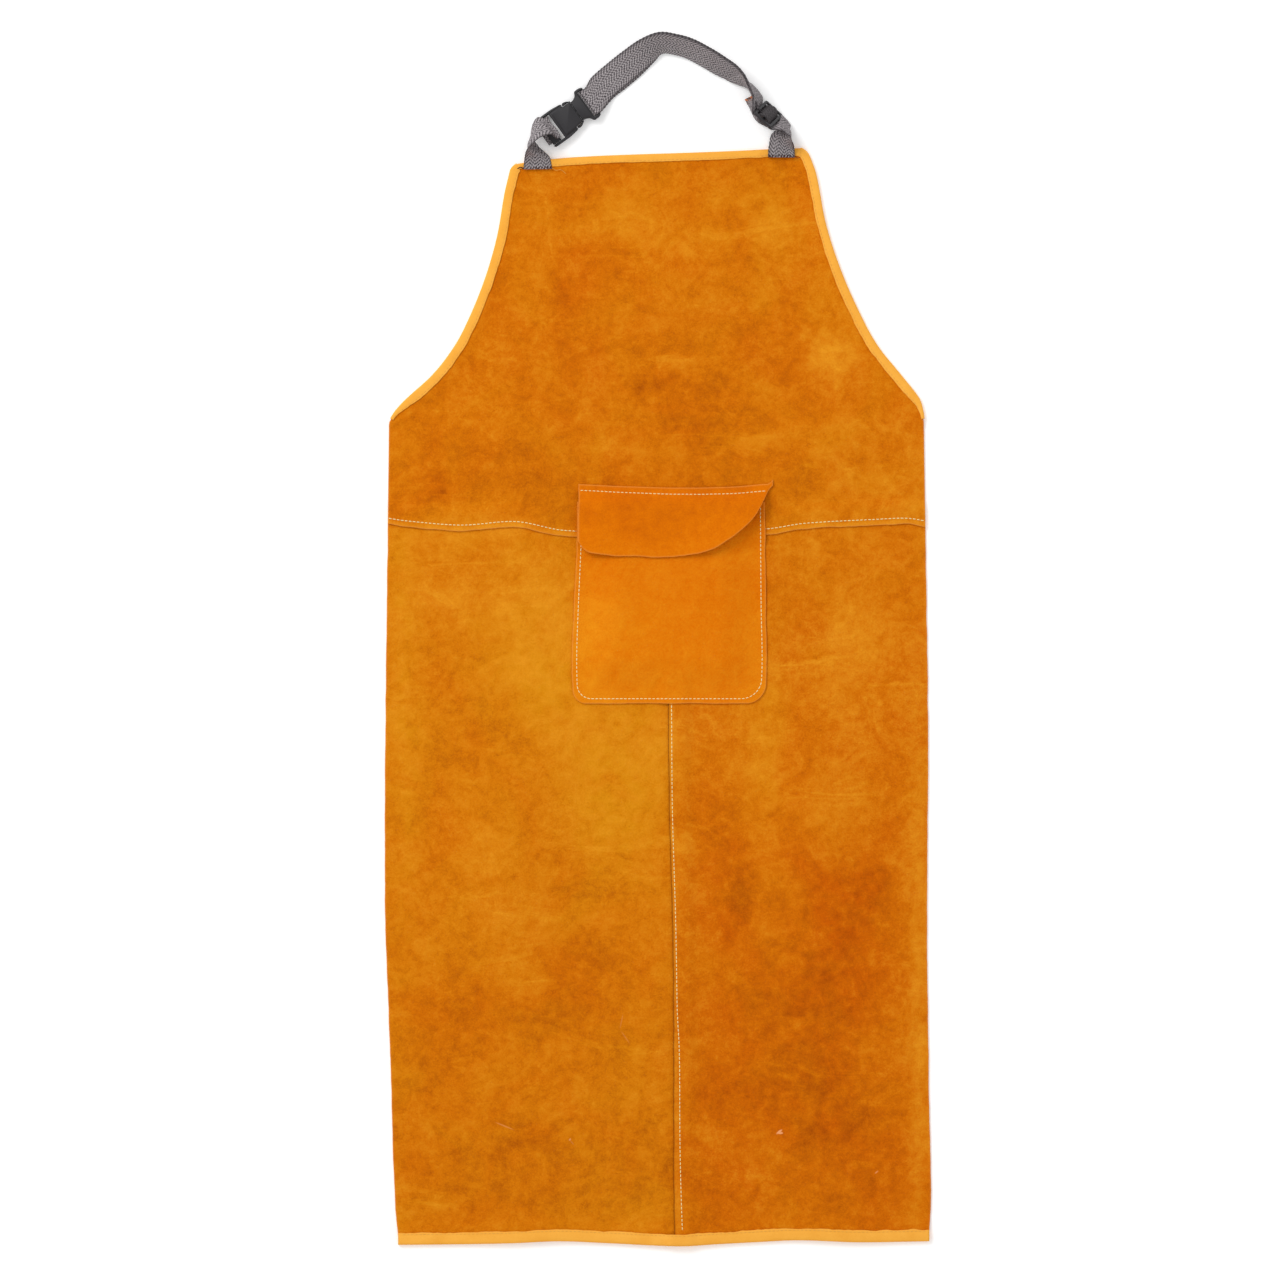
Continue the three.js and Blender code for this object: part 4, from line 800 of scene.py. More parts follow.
top_x = np.linspace(side_x(APRON_LENGTH, "left") + 5, side_x(APRON_LENGTH, "right") - 4.6, 140)
top_edge = np.column_stack([top_x, APRON_LENGTH + top_rise(top_x)])
top_width = 0.85 * TOP_BINDING_WIDTH * lerp(0.7, 1, smooth(top_x, top_x[0], top_x[0] + 45))
top_binding = binding("top_binding_leather", top_edge, np.tile([0, -1], (len(top_x), 1)), top_width,
                      upper_under, upper_over, 97, ["top_binding"])

# Stitches: each is a short thread whose two ends dip into the leather.
THREAD_SIDES = 6
THREAD_PROFILE = ((-1, 0.35), (-0.86, 0.8), (-0.45, 1), (0.45, 1), (0.86, 0.8), (1, 0.35))


def resample(path, pitch):
    """Points at equal distances along a path, with the way ahead at each."""
    path = np.asarray(path, float)
    run = np.concatenate([[0], np.cumsum(np.linalg.norm(np.diff(path, axis=0), axis=1))])
    count = max(2, int(round(run[-1] / pitch)))
    at = (np.arange(count) + 0.5) * run[-1] / count
    points = np.column_stack([np.interp(at, run, path[:, k]) for k in range(path.shape[1])])
    ends = np.column_stack([np.interp(at + 0.5, run, path[:, k]) for k in range(path.shape[1])])
    starts = np.column_stack([np.interp(at - 0.5, run, path[:, k]) for k in range(path.shape[1])])
    ahead = (ends - starts) / np.linalg.norm(ends - starts, axis=1)[:, None]
    return points, ahead


def stitches(name, path, face, seed, radius=0.42, share=0.74, slant=0.0, pitch=STITCH_PITCH):
    """Row of stitches along a path, on a face given by its height."""
    points, ahead = resample(path, pitch)
    count = len(points)
    turn = slant + 0.14 * (lattice(np.arange(count), 0 * np.arange(count), seed) - 0.5)
    ahead = np.column_stack([ahead[:, 0] * np.cos(turn) - ahead[:, 1] * np.sin(turn),
                             ahead[:, 0] * np.sin(turn) + ahead[:, 1] * np.cos(turn)])
    aside = np.column_stack([-ahead[:, 1], ahead[:, 0]])
    half = pitch * share / 2 * (0.9 + 0.2 * lattice(np.arange(count), np.ones(count), seed))
    angles = np.arange(THREAD_SIDES) * 2 * math.pi / THREAD_SIDES
    rings = []
    for place, thick in THREAD_PROFILE:
        centre = points + ahead * (half * place)[:, None]
        height = face(centre[:, 0], centre[:, 1]) + radius * (0.55 - place * place)
        for angle in angles:
            spot = centre + aside * radius * thick * math.cos(angle)
            rings.append(np.column_stack([spot, height + radius * thick * math.sin(angle)]))
    vertices = np.stack(rings, 1)
    size = vertices.shape[1]
    single = []
    for ring in range(len(THREAD_PROFILE) - 1):
        for k in range(THREAD_SIDES):
            a, b = ring * THREAD_SIDES + k, ring * THREAD_SIDES + (k + 1) % THREAD_SIDES
            single.append([a, a + THREAD_SIDES, b + THREAD_SIDES, b])
    caps = [list(range(THREAD_SIDES)), list(range(size - 1, size - THREAD_SIDES - 1, -1))]
    faces = [[v + i * size for v in corners] for i in range(count) for corners in single + caps]
    piece = make_mesh(name, vertices.reshape(-1, 3), faces)
    recalculate_normals(piece)
    return piece


def line_x(start, end, y_of, step=2):
    """Path across X whose height on the sheet follows a function."""
    x = np.arange(start, end + step / 2, step)
    return np.column_stack([x, y_of(x)])


def waist_stitch_y(x):
    return waist_y(x) + WAIST_STITCH


left_end, right_end = side_x(WAIST_HEIGHT, "left"), side_x(WAIST_HEIGHT, "right")
pocket_left, pocket_right = pocket_x(POCKET_MOUTH - 20, "left"), pocket_x(POCKET_MOUTH - 20, "right")
waist_stitches = [
    stitches("waist_stitches_left", line_x(left_end + 0.5, pocket_left + 3, waist_stitch_y), upper_over, 101),
    stitches("waist_stitches_right", line_x(pocket_right - 3, right_end - 0.5, waist_stitch_y),
             upper_over, 103),
]
seam_y = np.arange(11, POCKET_BOTTOM + 4, 2.0)
centre_path = np.column_stack([centre_stitch_x(seam_y), seam_y])
centre_stitches = [stitches("centre_stitches", centre_path, lambda x, y: right_under(x, y) + LEATHER, 105)]


def pocket_outline(inset, mouth):
    """Path inside the pocket's edge, from the mouth down one side, round the corners and up the other."""
    paths = []
    for side, sign in (("left", 1), ("right", -1)):
        radius = POCKET_CORNERS[side]
        y = np.concatenate([
            POCKET_BOTTOM + inset + radius * (1 - np.cos(np.linspace(0, 1, 13) * math.pi / 2)),
            np.arange(POCKET_BOTTOM + inset + radius + 3, mouth, 3.0),
        ])
        x = pocket_x(np.maximum(y - inset, POCKET_BOTTOM), side) + sign * inset
        paths.append(np.column_stack([x, y]))
    return np.concatenate([paths[0][::-1], paths[1]])


def pocket_over(x, y):
    return pocket_under(x, y) + LEATHER


pocket_path = pocket_outline(POCKET_STITCH, POCKET_MOUTH - 5)
pocket_stitches = stitches("pocket_stitches", pocket_path, pocket_over, 107)


def flap_over(x, y):
    return flap_under(x, y) + LEATHER


def flap_stitch_y(x):
    across = (x - POCKET_OFFSET) / POCKET_WIDTH
    top = FLAP_TOP - FLAP_HEM * along(FLAP_LINE, "across", "sag", across)
    return top - lerp(6.2, 7.2, smooth(across, -0.5, 0.5))


flap_path = line_x(POCKET_OFFSET - 0.462 * POCKET_WIDTH, POCKET_OFFSET + 0.505 * POCKET_WIDTH, flap_stitch_y)
flap_stitches = stitches("flap_stitches", flap_path, flap_over, 109)


def bound_over(over):
    return lambda x, y: over(x, y) + CLEARANCE + 0.9 * BINDING


hem_stitch_path = line_x(hem_x[0] + 4, hem_x[-1] - 4, lambda x: hem_y(x) + 0.78 * HEM_BINDING_WIDTH)
hem_stitches = stitches("hem_stitches", hem_stitch_path, bound_over(hem_over), 111, radius=0.3)
armhole_stitches = []
for side, seed in (("left", 113), ("right", 115)):
    edge, inward, width = armhole_edge(side)
    inside = (edge + inward * (0.78 * width)[:, None])[8:-2]
    armhole_stitches.append(stitches(side + "_armhole_stitches", inside, bound_over(upper_over), seed,
                                     radius=0.3))
top_path = (top_edge - [0, 1] * (0.78 * top_width)[:, None])[2:-2]
top_stitches = stitches("top_stitches", top_path, bound_over(upper_over), 117, radius=0.3)

# Webbing
WEAVE_STEP = 0.75
WEAVE_PITCH = 3.3
WEAVE_BANDS = 5
WEAVE_DEPTH = 0.5
RIBBON_COLUMNS = 45
LEFT_TAB_X = TAB_OFFSET - TAB_SPACING / 2


def strap_point(share_along, up, high):
    return np.array([LEFT_TAB_X + share_along * TAB_SPACING, APRON_LENGTH + up * STRAP_REACH,
                     high * WEBBING_WIDTH])


def edge_stations(rows):
    """Stations of a strap, each its two edges, from a table that places both."""
    return [np.concatenate([strap_point(*row[:3]), strap_point(*row[3:6])]) for row in zip(*rows.values())]


def station(centre, across, width=WEBBING_WIDTH):
    return np.concatenate([centre - across * width / 2, centre + across * width / 2])


def centre_of(edges):
    return (edges[:3] + edges[3:]) / 2


def tilted_stations(rows, before, after):
    """Stations of a strap square to its path, its outer edge up by the tilt."""
    points = [before] + [strap_point(*row[:3]) for row in zip(*rows.values())] + [after]
    stations = []
    for i, tilt in enumerate(np.radians(rows["tilt"])):
        ahead = (points[i + 2] - points[i]) * [1, 1, 0]
        ahead /= np.linalg.norm(ahead)
        out = np.array([-ahead[1], ahead[0], 0])
        stations.append(station(points[i + 1], out * math.cos(tilt) + np.array([0, 0, math.sin(tilt)])))
    return stations


def curve_point(points, t):
    """Point of the smooth curve through all points, at a share of their number."""
    points = np.asarray(points, float)
    points = np.concatenate([[2 * points[0] - points[1]], points, [2 * points[-1] - points[-2]]])
    place = np.clip(t, 0, 1) * (len(points) - 3)
    i = np.minimum(np.floor(place).astype(int), len(points) - 4)
    w = (place - i)[:, None]
    a, b, c, d = (points[i + k] for k in range(4))
    square, cube = 2 * a - 5 * b + 4 * c - d, 3 * b - a - 3 * c + d
    return 0.5 * (2 * b + (c - a) * w + square * w * w + cube * w ** 3)


def ribbon_edges(stations):
    """Both edges of a ribbon at equal distances along its middle."""
    t = np.linspace(0, 1, 40 * len(stations))
    edges = curve_point(stations, t)
    middle = (edges[:, :3] + edges[:, 3:]) / 2
    run = np.concatenate([[0], np.cumsum(np.linalg.norm(np.diff(middle, axis=0), axis=1))])
    t = np.interp(np.linspace(0, run[-1], int(run[-1] / WEAVE_STEP) + 1), run, t)
    return curve_point(stations, t), run[-1], t


def weave(along_strap, across_strap):
    """Height from 0 to 1 of a herringbone weave: slanted yarns that turn back in each band."""
    band = WEBBING_WIDTH / WEAVE_BANDS
    zigzag = np.abs((across_strap / band) % 2 - 1) * band
    rib = np.abs(np.sin(math.pi * (along_strap + 0.9 * zigzag) / WEAVE_PITCH))
    row = np.floor((along_strap + 0.9 * zigzag) / WEAVE_PITCH)
    yarn = 0.5 + 0.5 * np.sin(2 * math.pi * (across_strap / 1.9 + row / 2))
    return np.clip(rib ** 0.7 * (0.45 + 0.55 * yarn), 0, 1)


def ribbon(name, stations, replaces=(), burnt=None, bows=(), shade=None):
    """Webbing along stations, woven on both faces and round at its edges. A bow moves its middle aside."""
    edges, length, share = ribbon_edges(stations)
    every_bow = np.zeros((len(stations), 3))
    every_bow[:len(bows), :2] = np.reshape(bows, (-1, 2))
    bow = curve_point(every_bow, share)
    count = len(edges)
    centres = (edges[:, :3] + edges[:, 3:]) / 2
    half_across = (edges[:, 3:] - edges[:, :3]) / 2
    ahead = np.gradient(centres, axis=0)
    ahead /= np.linalg.norm(ahead, axis=1)[:, None]
    normal = np.cross(half_across, ahead)
    normal /= np.linalg.norm(normal, axis=1)[:, None]
    s = np.linspace(0, length, count)[:, None]
    v = np.linspace(-1, 1, RIBBON_COLUMNS)[None, :]
    flat = (v + 1) * WEBBING_WIDTH / 2
    edge = np.clip((1 - np.abs(v)) * WEBBING_WIDTH / 2 / 1.1, 0, 1)
    half = (WEBBING / 2 - WEAVE_DEPTH * 0.5) * np.sqrt(np.clip(edge * (2 - edge), 0.12, 1))
    front, back = weave(s, flat), weave(s + WEAVE_PITCH / 2, flat)
    narrow = np.linalg.norm(half_across, axis=1) / (WEBBING_WIDTH / 2)
    cup = (1.6 * np.sqrt(np.clip(1 - narrow, 0, 1)))[:, None] * np.sin(v * math.pi * 1.5)
    selvedge = 0.22 * np.sin(2 * math.pi * s / WEAVE_PITCH) * (np.abs(v) > 0.96) * np.sign(v)
    base = centres[:, None, :] + half_across[:, None, :] * (v + selvedge / WEBBING_WIDTH * 2)[..., None]
    base = base + normal[:, None, :] * cup[..., None] + bow[:, None, :] * (1 - v * v)[..., None]
    slope = np.gradient(base, axis=1)
    normal = np.cross(slope, ahead[:, None, :])
    normal /= np.linalg.norm(normal, axis=-1)[..., None]
    upper = base + normal * (half + WEAVE_DEPTH * front * edge)[..., None]
    lower = base - normal * (half + WEAVE_DEPTH * back * edge)[..., None]
    points = np.concatenate([lower.reshape(-1, 3), upper.reshape(-1, 3)])
    char = np.zeros((count, RIBBON_COLUMNS))
    if burnt is not None:
        char = char + smooth(s + 1.2 * noise(flat, 0 * flat, 3, 121), length - burnt, length)
    # Painted shade from the shade function, such as the slider's.
    dim = shade(base[..., 0], base[..., 1]) if shade else np.zeros((count, RIBBON_COLUMNS))
    border = np.clip(1 - (1 - np.abs(v)) * WEBBING_WIDTH / 2 / 2.2, 0, 1)
    border = np.broadcast_to(border, (count, RIBBON_COLUMNS))
    faces_of = {"weave": (back, front), "char": (char, char), "dim": (dim, dim), "border": (border, border)}
    values = {key: np.concatenate([low.ravel(), high.ravel()]) for key, (low, high) in faces_of.items()}
    piece = make_mesh(name, points, grid_faces(count, RIBBON_COLUMNS), replaces, values)
    recalculate_normals(piece)
    return piece


# Buckle, with its length along X and its socket bar at the negative end, then turned and placed.
BUCKLE_TURN = (
    Matrix.Translation((LEFT_TAB_X + BUCKLE_ALONG * TAB_SPACING,
                        APRON_LENGTH + BUCKLE_UP * STRAP_REACH, BUCKLE_LIFT))
    @ Matrix.Rotation(math.radians(BUCKLE_ANGLE), 4, "Z")
)
BUCKLE_END = BUCKLE_LENGTH / 2
BAR_LOW = (BUCKLE_HEIGHT - BUCKLE_BAR_THICKNESS) / 2
BAR_HIGH = (BUCKLE_HEIGHT + BUCKLE_BAR_THICKNESS) / 2
WEBBING_ON_BAR = BAR_HIGH + WEBBING_GAP + WEBBING / 2


def at_buckle(x, y, z):
    return np.array(BUCKLE_TURN @ Vector((x, y, z)))


def buckle_station(x, z, low=-WEBBING_WIDTH / 2, high=WEBBING_WIDTH / 2):
    return np.concatenate([at_buckle(x, low, z), at_buckle(x, high, z)])


def bar_turn(edge_x, sign, low=-WEBBING_WIDTH / 2, high=WEBBING_WIDTH / 2):
    """Half turn of webbing round the edge of a buckle bar, from its upper to its lower side."""
    reach = BUCKLE_BAR_THICKNESS / 2 + WEBBING_GAP + WEBBING / 2
    ahead = WEBBING_GAP + WEBBING / 2
    stations = []
    for angle in np.radians([90, 45, 0, -45, -90]):
        out = abs(math.cos(angle)) ** TURN_SQUARENESS
        up = math.copysign(abs(math.sin(angle)) ** TURN_SQUARENESS, math.sin(angle))
        x, z = edge_x + sign * ahead * out, BUCKLE_HEIGHT / 2 + reach * up
        stations.append(buckle_station(x, z, low, high))
    return stations


left_tab_stations = edge_stations(LEFT_TAB_EDGES)
left_tab_stations += [buckle_station(-SOCKET_BAR_EDGE - 2.5, WEBBING_ON_BAR + 0.6, -11, 14)]
left_tab_stations += bar_turn(-SOCKET_BAR_EDGE, 1, *SOCKET_WEBBING)
left_tab_stations += [buckle_station(-BUCKLE_END - 4, TAB_UNDER_LIFT + WEBBING / 2, *SOCKET_WEBBING)]
left_tab = ribbon("left_tab_webbing", left_tab_stations, ["left_tab"],
                  bows=np.column_stack([LEFT_TAB_EDGES["bow_x"], LEFT_TAB_EDGES["bow_y"]]))

# Slider: its length runs along the strap and its bars lie across it.
heading = math.radians(SLIDER_HEADING)
SLIDER_AHEAD = np.array([math.cos(heading), math.sin(heading), 0])
tilt = math.radians(SLIDER_TILT)
SLIDER_ACROSS = np.array([-SLIDER_AHEAD[1], SLIDER_AHEAD[0], 0]) * math.cos(tilt)
SLIDER_ACROSS = SLIDER_ACROSS + np.array([0, 0, math.sin(tilt)])
SLIDER_NORMAL = np.cross(SLIDER_ACROSS, SLIDER_AHEAD)
SLIDER_CENTRE = strap_point(*SLIDER_PLACE)
SLIDER_HALF = SLIDER_LENGTH / 2
lift = SLIDER_THICKNESS / 2 + WEBBING / 2 + SLIDER_PLAY
weave_end = SLIDER_HALF + LAP_MARGIN
weave_bar = SLIDER_BAR / 2 + LAP_MARGIN
SLIDER_WEAVE = (
    (-weave_end, -lift), (-SLIDER_HALF + SLIDER_BAR, -lift), (-weave_bar, lift),
    (weave_bar, lift), (SLIDER_HALF - SLIDER_BAR, -lift), (weave_end, -lift),
)
slider_stations = [station(SLIDER_CENTRE + SLIDER_AHEAD * a + SLIDER_NORMAL * l, SLIDER_ACROSS)
                   for a, l in SLIDER_WEAVE]

# Neck strap: round the plug bar, along the arc in two layers, through the slider and down to the bib.
plug_turn = bar_turn(PLUG_BAR_EDGE, -1)
plug_approach = buckle_station(BUCKLE_END + STRAP_LEAD, WEBBING_ON_BAR)
plug_leave = buckle_station(BUCKLE_END + STRAP_LEAD, BAR_LOW - WEBBING_GAP - WEBBING / 2)
arc = tilted_stations(STRAP_LINE, centre_of(plug_approach), centre_of(slider_stations[0]))
outer = [plug_turn[0], plug_approach] + arc + slider_stations + edge_stations(LOOP_EDGES)


def slider_shade(x, y):
    """Painted shade on the webbing inside the slider, and a little of it on the way down to it."""
    reach = np.hypot(x - SLIDER_CENTRE[0], y - SLIDER_CENTRE[1])
    return np.maximum(1 - smooth(reach, 9, 13), 0.12 * (1 - smooth(reach, 72, 96)))


outer_strap = ribbon("neck_strap_webbing", outer, ["neck_strap"], shade=slider_shade)
fine = curve_point(outer, np.linspace(0, 1, 60 * (len(outer) - 1) + 1))
under_layer = []
for row in range(2, 2 + len(arc)):
    ahead = centre_of(fine[60 * row + 1]) - centre_of(fine[60 * row - 1])
    normal = np.cross(outer[row][3:] - outer[row][:3], ahead)
    normal *= (WEBBING + WEBBING_GAP) / np.linalg.norm(normal)
    layer = outer[row] + np.tile(normal, 2)
    aside = np.array([-ahead[1], ahead[0], 0]) / math.hypot(ahead[0], ahead[1])
    layer[:3] -= aside * STRAP_LINE["spread"][row - 2]
    under_layer.append(layer)
return_strap = ribbon("strap_return_webbing", plug_turn[1:] + [plug_leave] + under_layer)
strap_tail = ribbon("strap_tail_webbing", edge_stations(TAIL_EDGES), burnt=5, shade=slider_shade)


# Plastic plates
def rounded(corners, steps=5):
    """Outline with each corner cut by an arc, from rows of x, y and the length that the arc takes."""
    corners = [(np.array(row[:2], float), row[2]) for row in corners]
    outline = []
    for i, (corner, cut) in enumerate(corners):
        before, after = corners[i - 1][0], corners[(i + 1) % len(corners)][0]
        if cut == 0:
            outline.append(corner)
            continue
        start = corner + (before - corner) / np.linalg.norm(before - corner) * cut
        end = corner + (after - corner) / np.linalg.norm(after - corner) * cut
        for t in np.linspace(0, 1, steps):
            outline.append(start * (1 - t) ** 2 + corner * 2 * t * (1 - t) + end * t * t)
    return outline


def mirrored(rows):
    """Closed outline from its half above the X axis, from left to right."""
    return rows + [(x, -y, cut) for x, y, cut in rows[::-1]]


def inset(outline, distance):
    """Outline moved inwards, to the left of a path that runs anticlockwise."""
    points = np.array(outline)
    ahead = np.roll(points, -1, 0) - np.roll(points, 1, 0)
    ahead /= np.maximum(np.linalg.norm(ahead, axis=1), 1e-6)[:, None]
    return points + distance * np.column_stack([-ahead[:, 1], ahead[:, 0]])


def turning(outline):
    """Area inside an outline, above 0 where it runs anticlockwise."""
    x, y = np.array(outline).T
    return 0.5 * np.sum(x * np.roll(y, -1) - y * np.roll(x, -1))


def plate(outlines, low, high, bevel):
    """Flat plate with rounded edges, as points and faces. Outlines after the first are holes."""
    loops = []
    for i, outline in enumerate(outlines):
        anticlockwise = turning(outline) > 0
        loops.append(outline if anticlockwise == (i == 0) else outline[::-1])
    levels = [(low, bevel), (low + 0.3 * bevel, 0.3 * bevel), (low + bevel, 0), (high - bevel, 0),
              (high - 0.3 * bevel, 0.3 * bevel), (high, bevel)]
    points, faces, start = [], [], 0
    for loop in loops:
        size = len(loop)
        for height, distance in levels:
            points.append(np.column_stack([inset(loop, distance), np.full(size, height)]))
        for level in range(len(levels) - 1):
            for k in range(size):
                a, b = start + level * size + k, start + level * size + (k + 1) % size
                faces.append([a, b, b + size, a + size])
        start += size * len(levels)
    caps = tessellate_polygon([[Vector((*p, 0)) for p in inset(loop, bevel)] for loop in loops])
    ends = np.concatenate([[0], np.cumsum([len(loop) for loop in loops])])

    def corner(index, level):
        loop = int(np.searchsorted(ends, index, side="right")) - 1
        size = len(loops[loop])
        return int(ends[loop] * len(levels) + level * size + index - ends[loop])

    for triangle in caps:
        faces.append([corner(index, 0) for index in triangle])
        faces.append([corner(index, len(levels) - 1) for index in triangle])
    return np.concatenate(points), faces


def plastic(name, plates, turn, replaces):
    """Piece joined from plates and put in place."""
    points, faces, count = [], [], 0
    for some_points, some_faces in plates:
        points.append(some_points)
        faces += [[v + count for v in face] for face in some_faces]
        count += len(some_points)
    points = np.concatenate(points)
    points = points @ np.array(turn.to_3x3()).T + np.array(turn.translation)
    piece = make_mesh(name, points, faces, replaces)
    work = bmesh.new()
    work.from_mesh(piece.data)
    bmesh.ops.remove_doubles(work, verts=work.verts, dist=0.00001)
    bmesh.ops.recalc_face_normals(work, faces=work.faces)
    work.to_mesh(piece.data)
    work.free()
    for polygon in piece.data.polygons:
        polygon.use_smooth = len(polygon.vertices) > 3
    piece.data.set_sharp_from_angle(angle=math.radians(50))
    return piece


socket_plates = [
    plate([rounded(mirrored([(-28.5, 13.9, 1), (-SOCKET_BAR_EDGE, 13.9, 0)]))], BAR_LOW, BAR_HIGH, 0.9),
    plate([rounded(mirrored([(-14.6, 14.6, 0.5), (0.2, 14.6, 0.8), (1.2, 12, 1), (9.6, 12, 1.5)]))],
          0.6, 8, 0.7),
    plate([rounded(mirrored([(-12.6, 13, 1.2), (-1, 13, 3), (4, 11.4, 2), (9.4, 11, 1.6)]))], 5, 9, 0.8),
]
plug_plates = [
    plate([rounded(mirrored([(9.9, 11.3, 0.6), (12.6, 11, 1.5), (17.6, 13.4, 2), (19.2, 17.8, 2),
                             (25.8, 17.8, 2), (28.5, 16.4, 1), (28.5, 14.9, 0.3), (21.8, 14.9, 0.3)]))],
          0.6, 8.4, 0.9),
    plate([rounded(mirrored([(9.9, 9.8, 0.6), (12.4, 9.4, 1.5), (16.4, 11.6, 2), (20.8, 13.2, 1)]))],
          5, 9, 0.7),
    plate([rounded(mirrored([(24.3, 15.3, 0.4), (28.3, 15.3, 0.4)]))], BAR_LOW, BAR_HIGH, 0.9),
]
for sign in (1, -1):
    rail = [(-28.5, 14.3, 0.8), (-28.5, 16.9, 2.2), (-10, 17.1, 4), (0.9, 15.6, 1.5), (0.9, 14.3, 0.4)]
    socket_plates.append(plate([rounded([(x, sign * y, cut) for x, y, cut in rail])], 0.6, 7.8, 0.8))
    pad = [(1.6, 12.4, 0.8), (1.8, 15.2, 1.8), (5.6, 15.4, 2.6), (9.4, 13, 1.8), (9.4, 12.4, 0.4)]
    plug_plates.append(plate([rounded([(x, sign * y, cut) for x, y, cut in pad])], 2.4, 6.8, 0.9))
buckle_socket = plastic("socket_plastic", socket_plates, BUCKLE_TURN, ["buckle_socket"])
buckle_plug = plastic("plug_plastic", plug_plates, BUCKLE_TURN, ["buckle_plug"])

slider_side = WEBBING_WIDTH / 2 + SLOT_PLAY + SLIDER_RAIL
slider_slot = (SLIDER_LENGTH - 3 * SLIDER_BAR) / 2
slider_holes = []
for sign in (-1, 1):
    near, far = sign * SLIDER_BAR / 2, sign * (SLIDER_BAR / 2 + slider_slot)
    half = WEBBING_WIDTH / 2 + SLOT_PLAY
    slider_holes.append(rounded([(near, -half, 1), (far, -half, 1), (far, half, 1), (near, half, 1)]))
slider_frame = rounded(mirrored([(-SLIDER_HALF, slider_side, 2.6), (SLIDER_HALF, slider_side, 2.6)]))
slider_turn = Matrix([SLIDER_AHEAD, -SLIDER_ACROSS, SLIDER_NORMAL]).transposed().to_4x4()
slider_turn.translation = SLIDER_CENTRE
slider = plastic("slider_plastic", [plate([slider_frame] + slider_holes, -SLIDER_THICKNESS / 2,
                                          SLIDER_THICKNESS / 2, 0.6)], slider_turn, ["slider"])

# Dark thread that sews the two tabs down
tab_stitches = []
for name, rows, seed in (("left", LEFT_TAB_EDGES, 131), ("right", LOOP_EDGES, 133)):
    end = 0 if name == "left" else -1
    near = strap_point(rows["along"][end], rows["up"][end], rows["high"][end])
    far = strap_point(rows["far_along"][end], rows["far_up"][end], rows["far_high"][end])
    path = [near[:2] + [0, 1.3], far[:2] + [0, 1.3]]
    height = near[2] + WEBBING / 2 - 0.1
    tab_stitches.append(stitches(name + "_tab_stitches", path, lambda x, y: height + 0 * x, seed, radius=0.62,
                                 share=1.1, slant=math.radians(62), pitch=3.0))


def strand(name, points, radius):
    """Thread along a smooth curve through points."""
    line = curve_point(points, np.linspace(0, 1, 10 * len(points)))
    ahead = np.gradient(line, axis=0)
    ahead /= np.linalg.norm(ahead, axis=1)[:, None]
    aside = np.cross(ahead, [0, 0, 1])
    aside /= np.linalg.norm(aside, axis=1)[:, None]
    up = np.cross(aside, ahead)
    angles = np.arange(THREAD_SIDES) * 2 * math.pi / THREAD_SIDES
    rings = [line + radius * (aside * math.cos(a) + up * math.sin(a)) for a in angles]
    faces = tube_faces(len(line), THREAD_SIDES)
    piece = make_mesh(name, np.stack(rings, 1).reshape(-1, 3), faces)
    recalculate_normals(piece)
    return piece


def surface_strand(name, path, radius=0.25):
    """Loose thread that lies on the bib, from rows of place and height over it."""
    points = [(x, y, float(upper_over(np.array(x), np.array(y))) + BOUND_LIFT * 0.5 + lift)
              for x, y, lift in path]
    return strand(name, points, radius)


left_base = strap_point(0.057, -0.125, 0)
near_base = strap_point(-0.061, -0.13, 0)
right_base = strap_point(0.945, -0.03, 0)
far_base = strap_point(1.055, -0.03, 0)
loose_threads = [
    surface_strand("left_tab_loose_thread", [
        (left_base[0], left_base[1] + 1, 1), (left_base[0] + 4, left_base[1] - 1.5, 1.2),
        (left_base[0] + 9, left_base[1] - 1, 0.6), (left_base[0] + 14, left_base[1] - 5, 0.4)]),
    surface_strand("right_tab_loose_thread", [
        (right_base[0], right_base[1] + 1, 2.4), (right_base[0] - 3, right_base[1] + 2.6, 2.6),
        (right_base[0] - 6, right_base[1] + 1.4, 2.2), (right_base[0] - 8, right_base[1] + 3.2, 2)]),
    surface_strand("left_tab_thread_end", [
        (near_base[0], near_base[1] + 1, 1.6), (near_base[0] - 3, near_base[1] + 2, 1.2),
        (near_base[0] - 6, near_base[1] + 0.6, 0.6)], 0.5),
    surface_strand("right_tab_thread_end", [
        (far_base[0], far_base[1] + 1, 2.4), (far_base[0] + 3, far_base[1] - 0.6, 1.8),
        (far_base[0] + 5.5, far_base[1] + 0.4, 1.6)]),
]


# Materials


def srgb(red, green, blue):
    """Linear colour from screen values of 0 to 255."""
    def channel(value):
        value /= 255
        return value / 12.92 if value <= 0.04045 else ((value + 0.055) / 1.055) ** 2.4
    return channel(red), channel(green), channel(blue), 1


def new_material(name, roughness, specular):
    """Material, its shader and a function that adds a node with its inputs."""
    material = bpy.data.materials.new(name)
    material.use_nodes = True
    tree = material.node_tree
    shader = tree.nodes["Principled BSDF"]
    shader.inputs["Roughness"].default_value = roughness
    shader.inputs["Specular IOR Level"].default_value = specular

    def put(target, value):
        if isinstance(value, bpy.types.NodeSocket):
            tree.links.new(value, target)
        else:
            target.default_value = value

    def add(kind, output, settings=(), **inputs):
        node = tree.nodes.new("ShaderNode" + kind)
        for key, value in dict(settings).items():
            setattr(node, key, value)
        for key, value in inputs.items():
            put(node.inputs[int(key[1:])] if key[0] == "_" and key[1:].isdigit() else node.inputs[key], value)
        return node.outputs[output]

    def connect(value, key):
        put(shader.inputs[key], value)

    return material, add, connect


def calculate(add, operation, a, b, c=0.0):
    return add("Math", 0, {"operation": operation}, _0=a, _1=b, _2=c)


def blend_colours(add, share, a, b):
    return add("Mix", 2, {"data_type": "RGBA"}, _0=share, _6=a, _7=b)


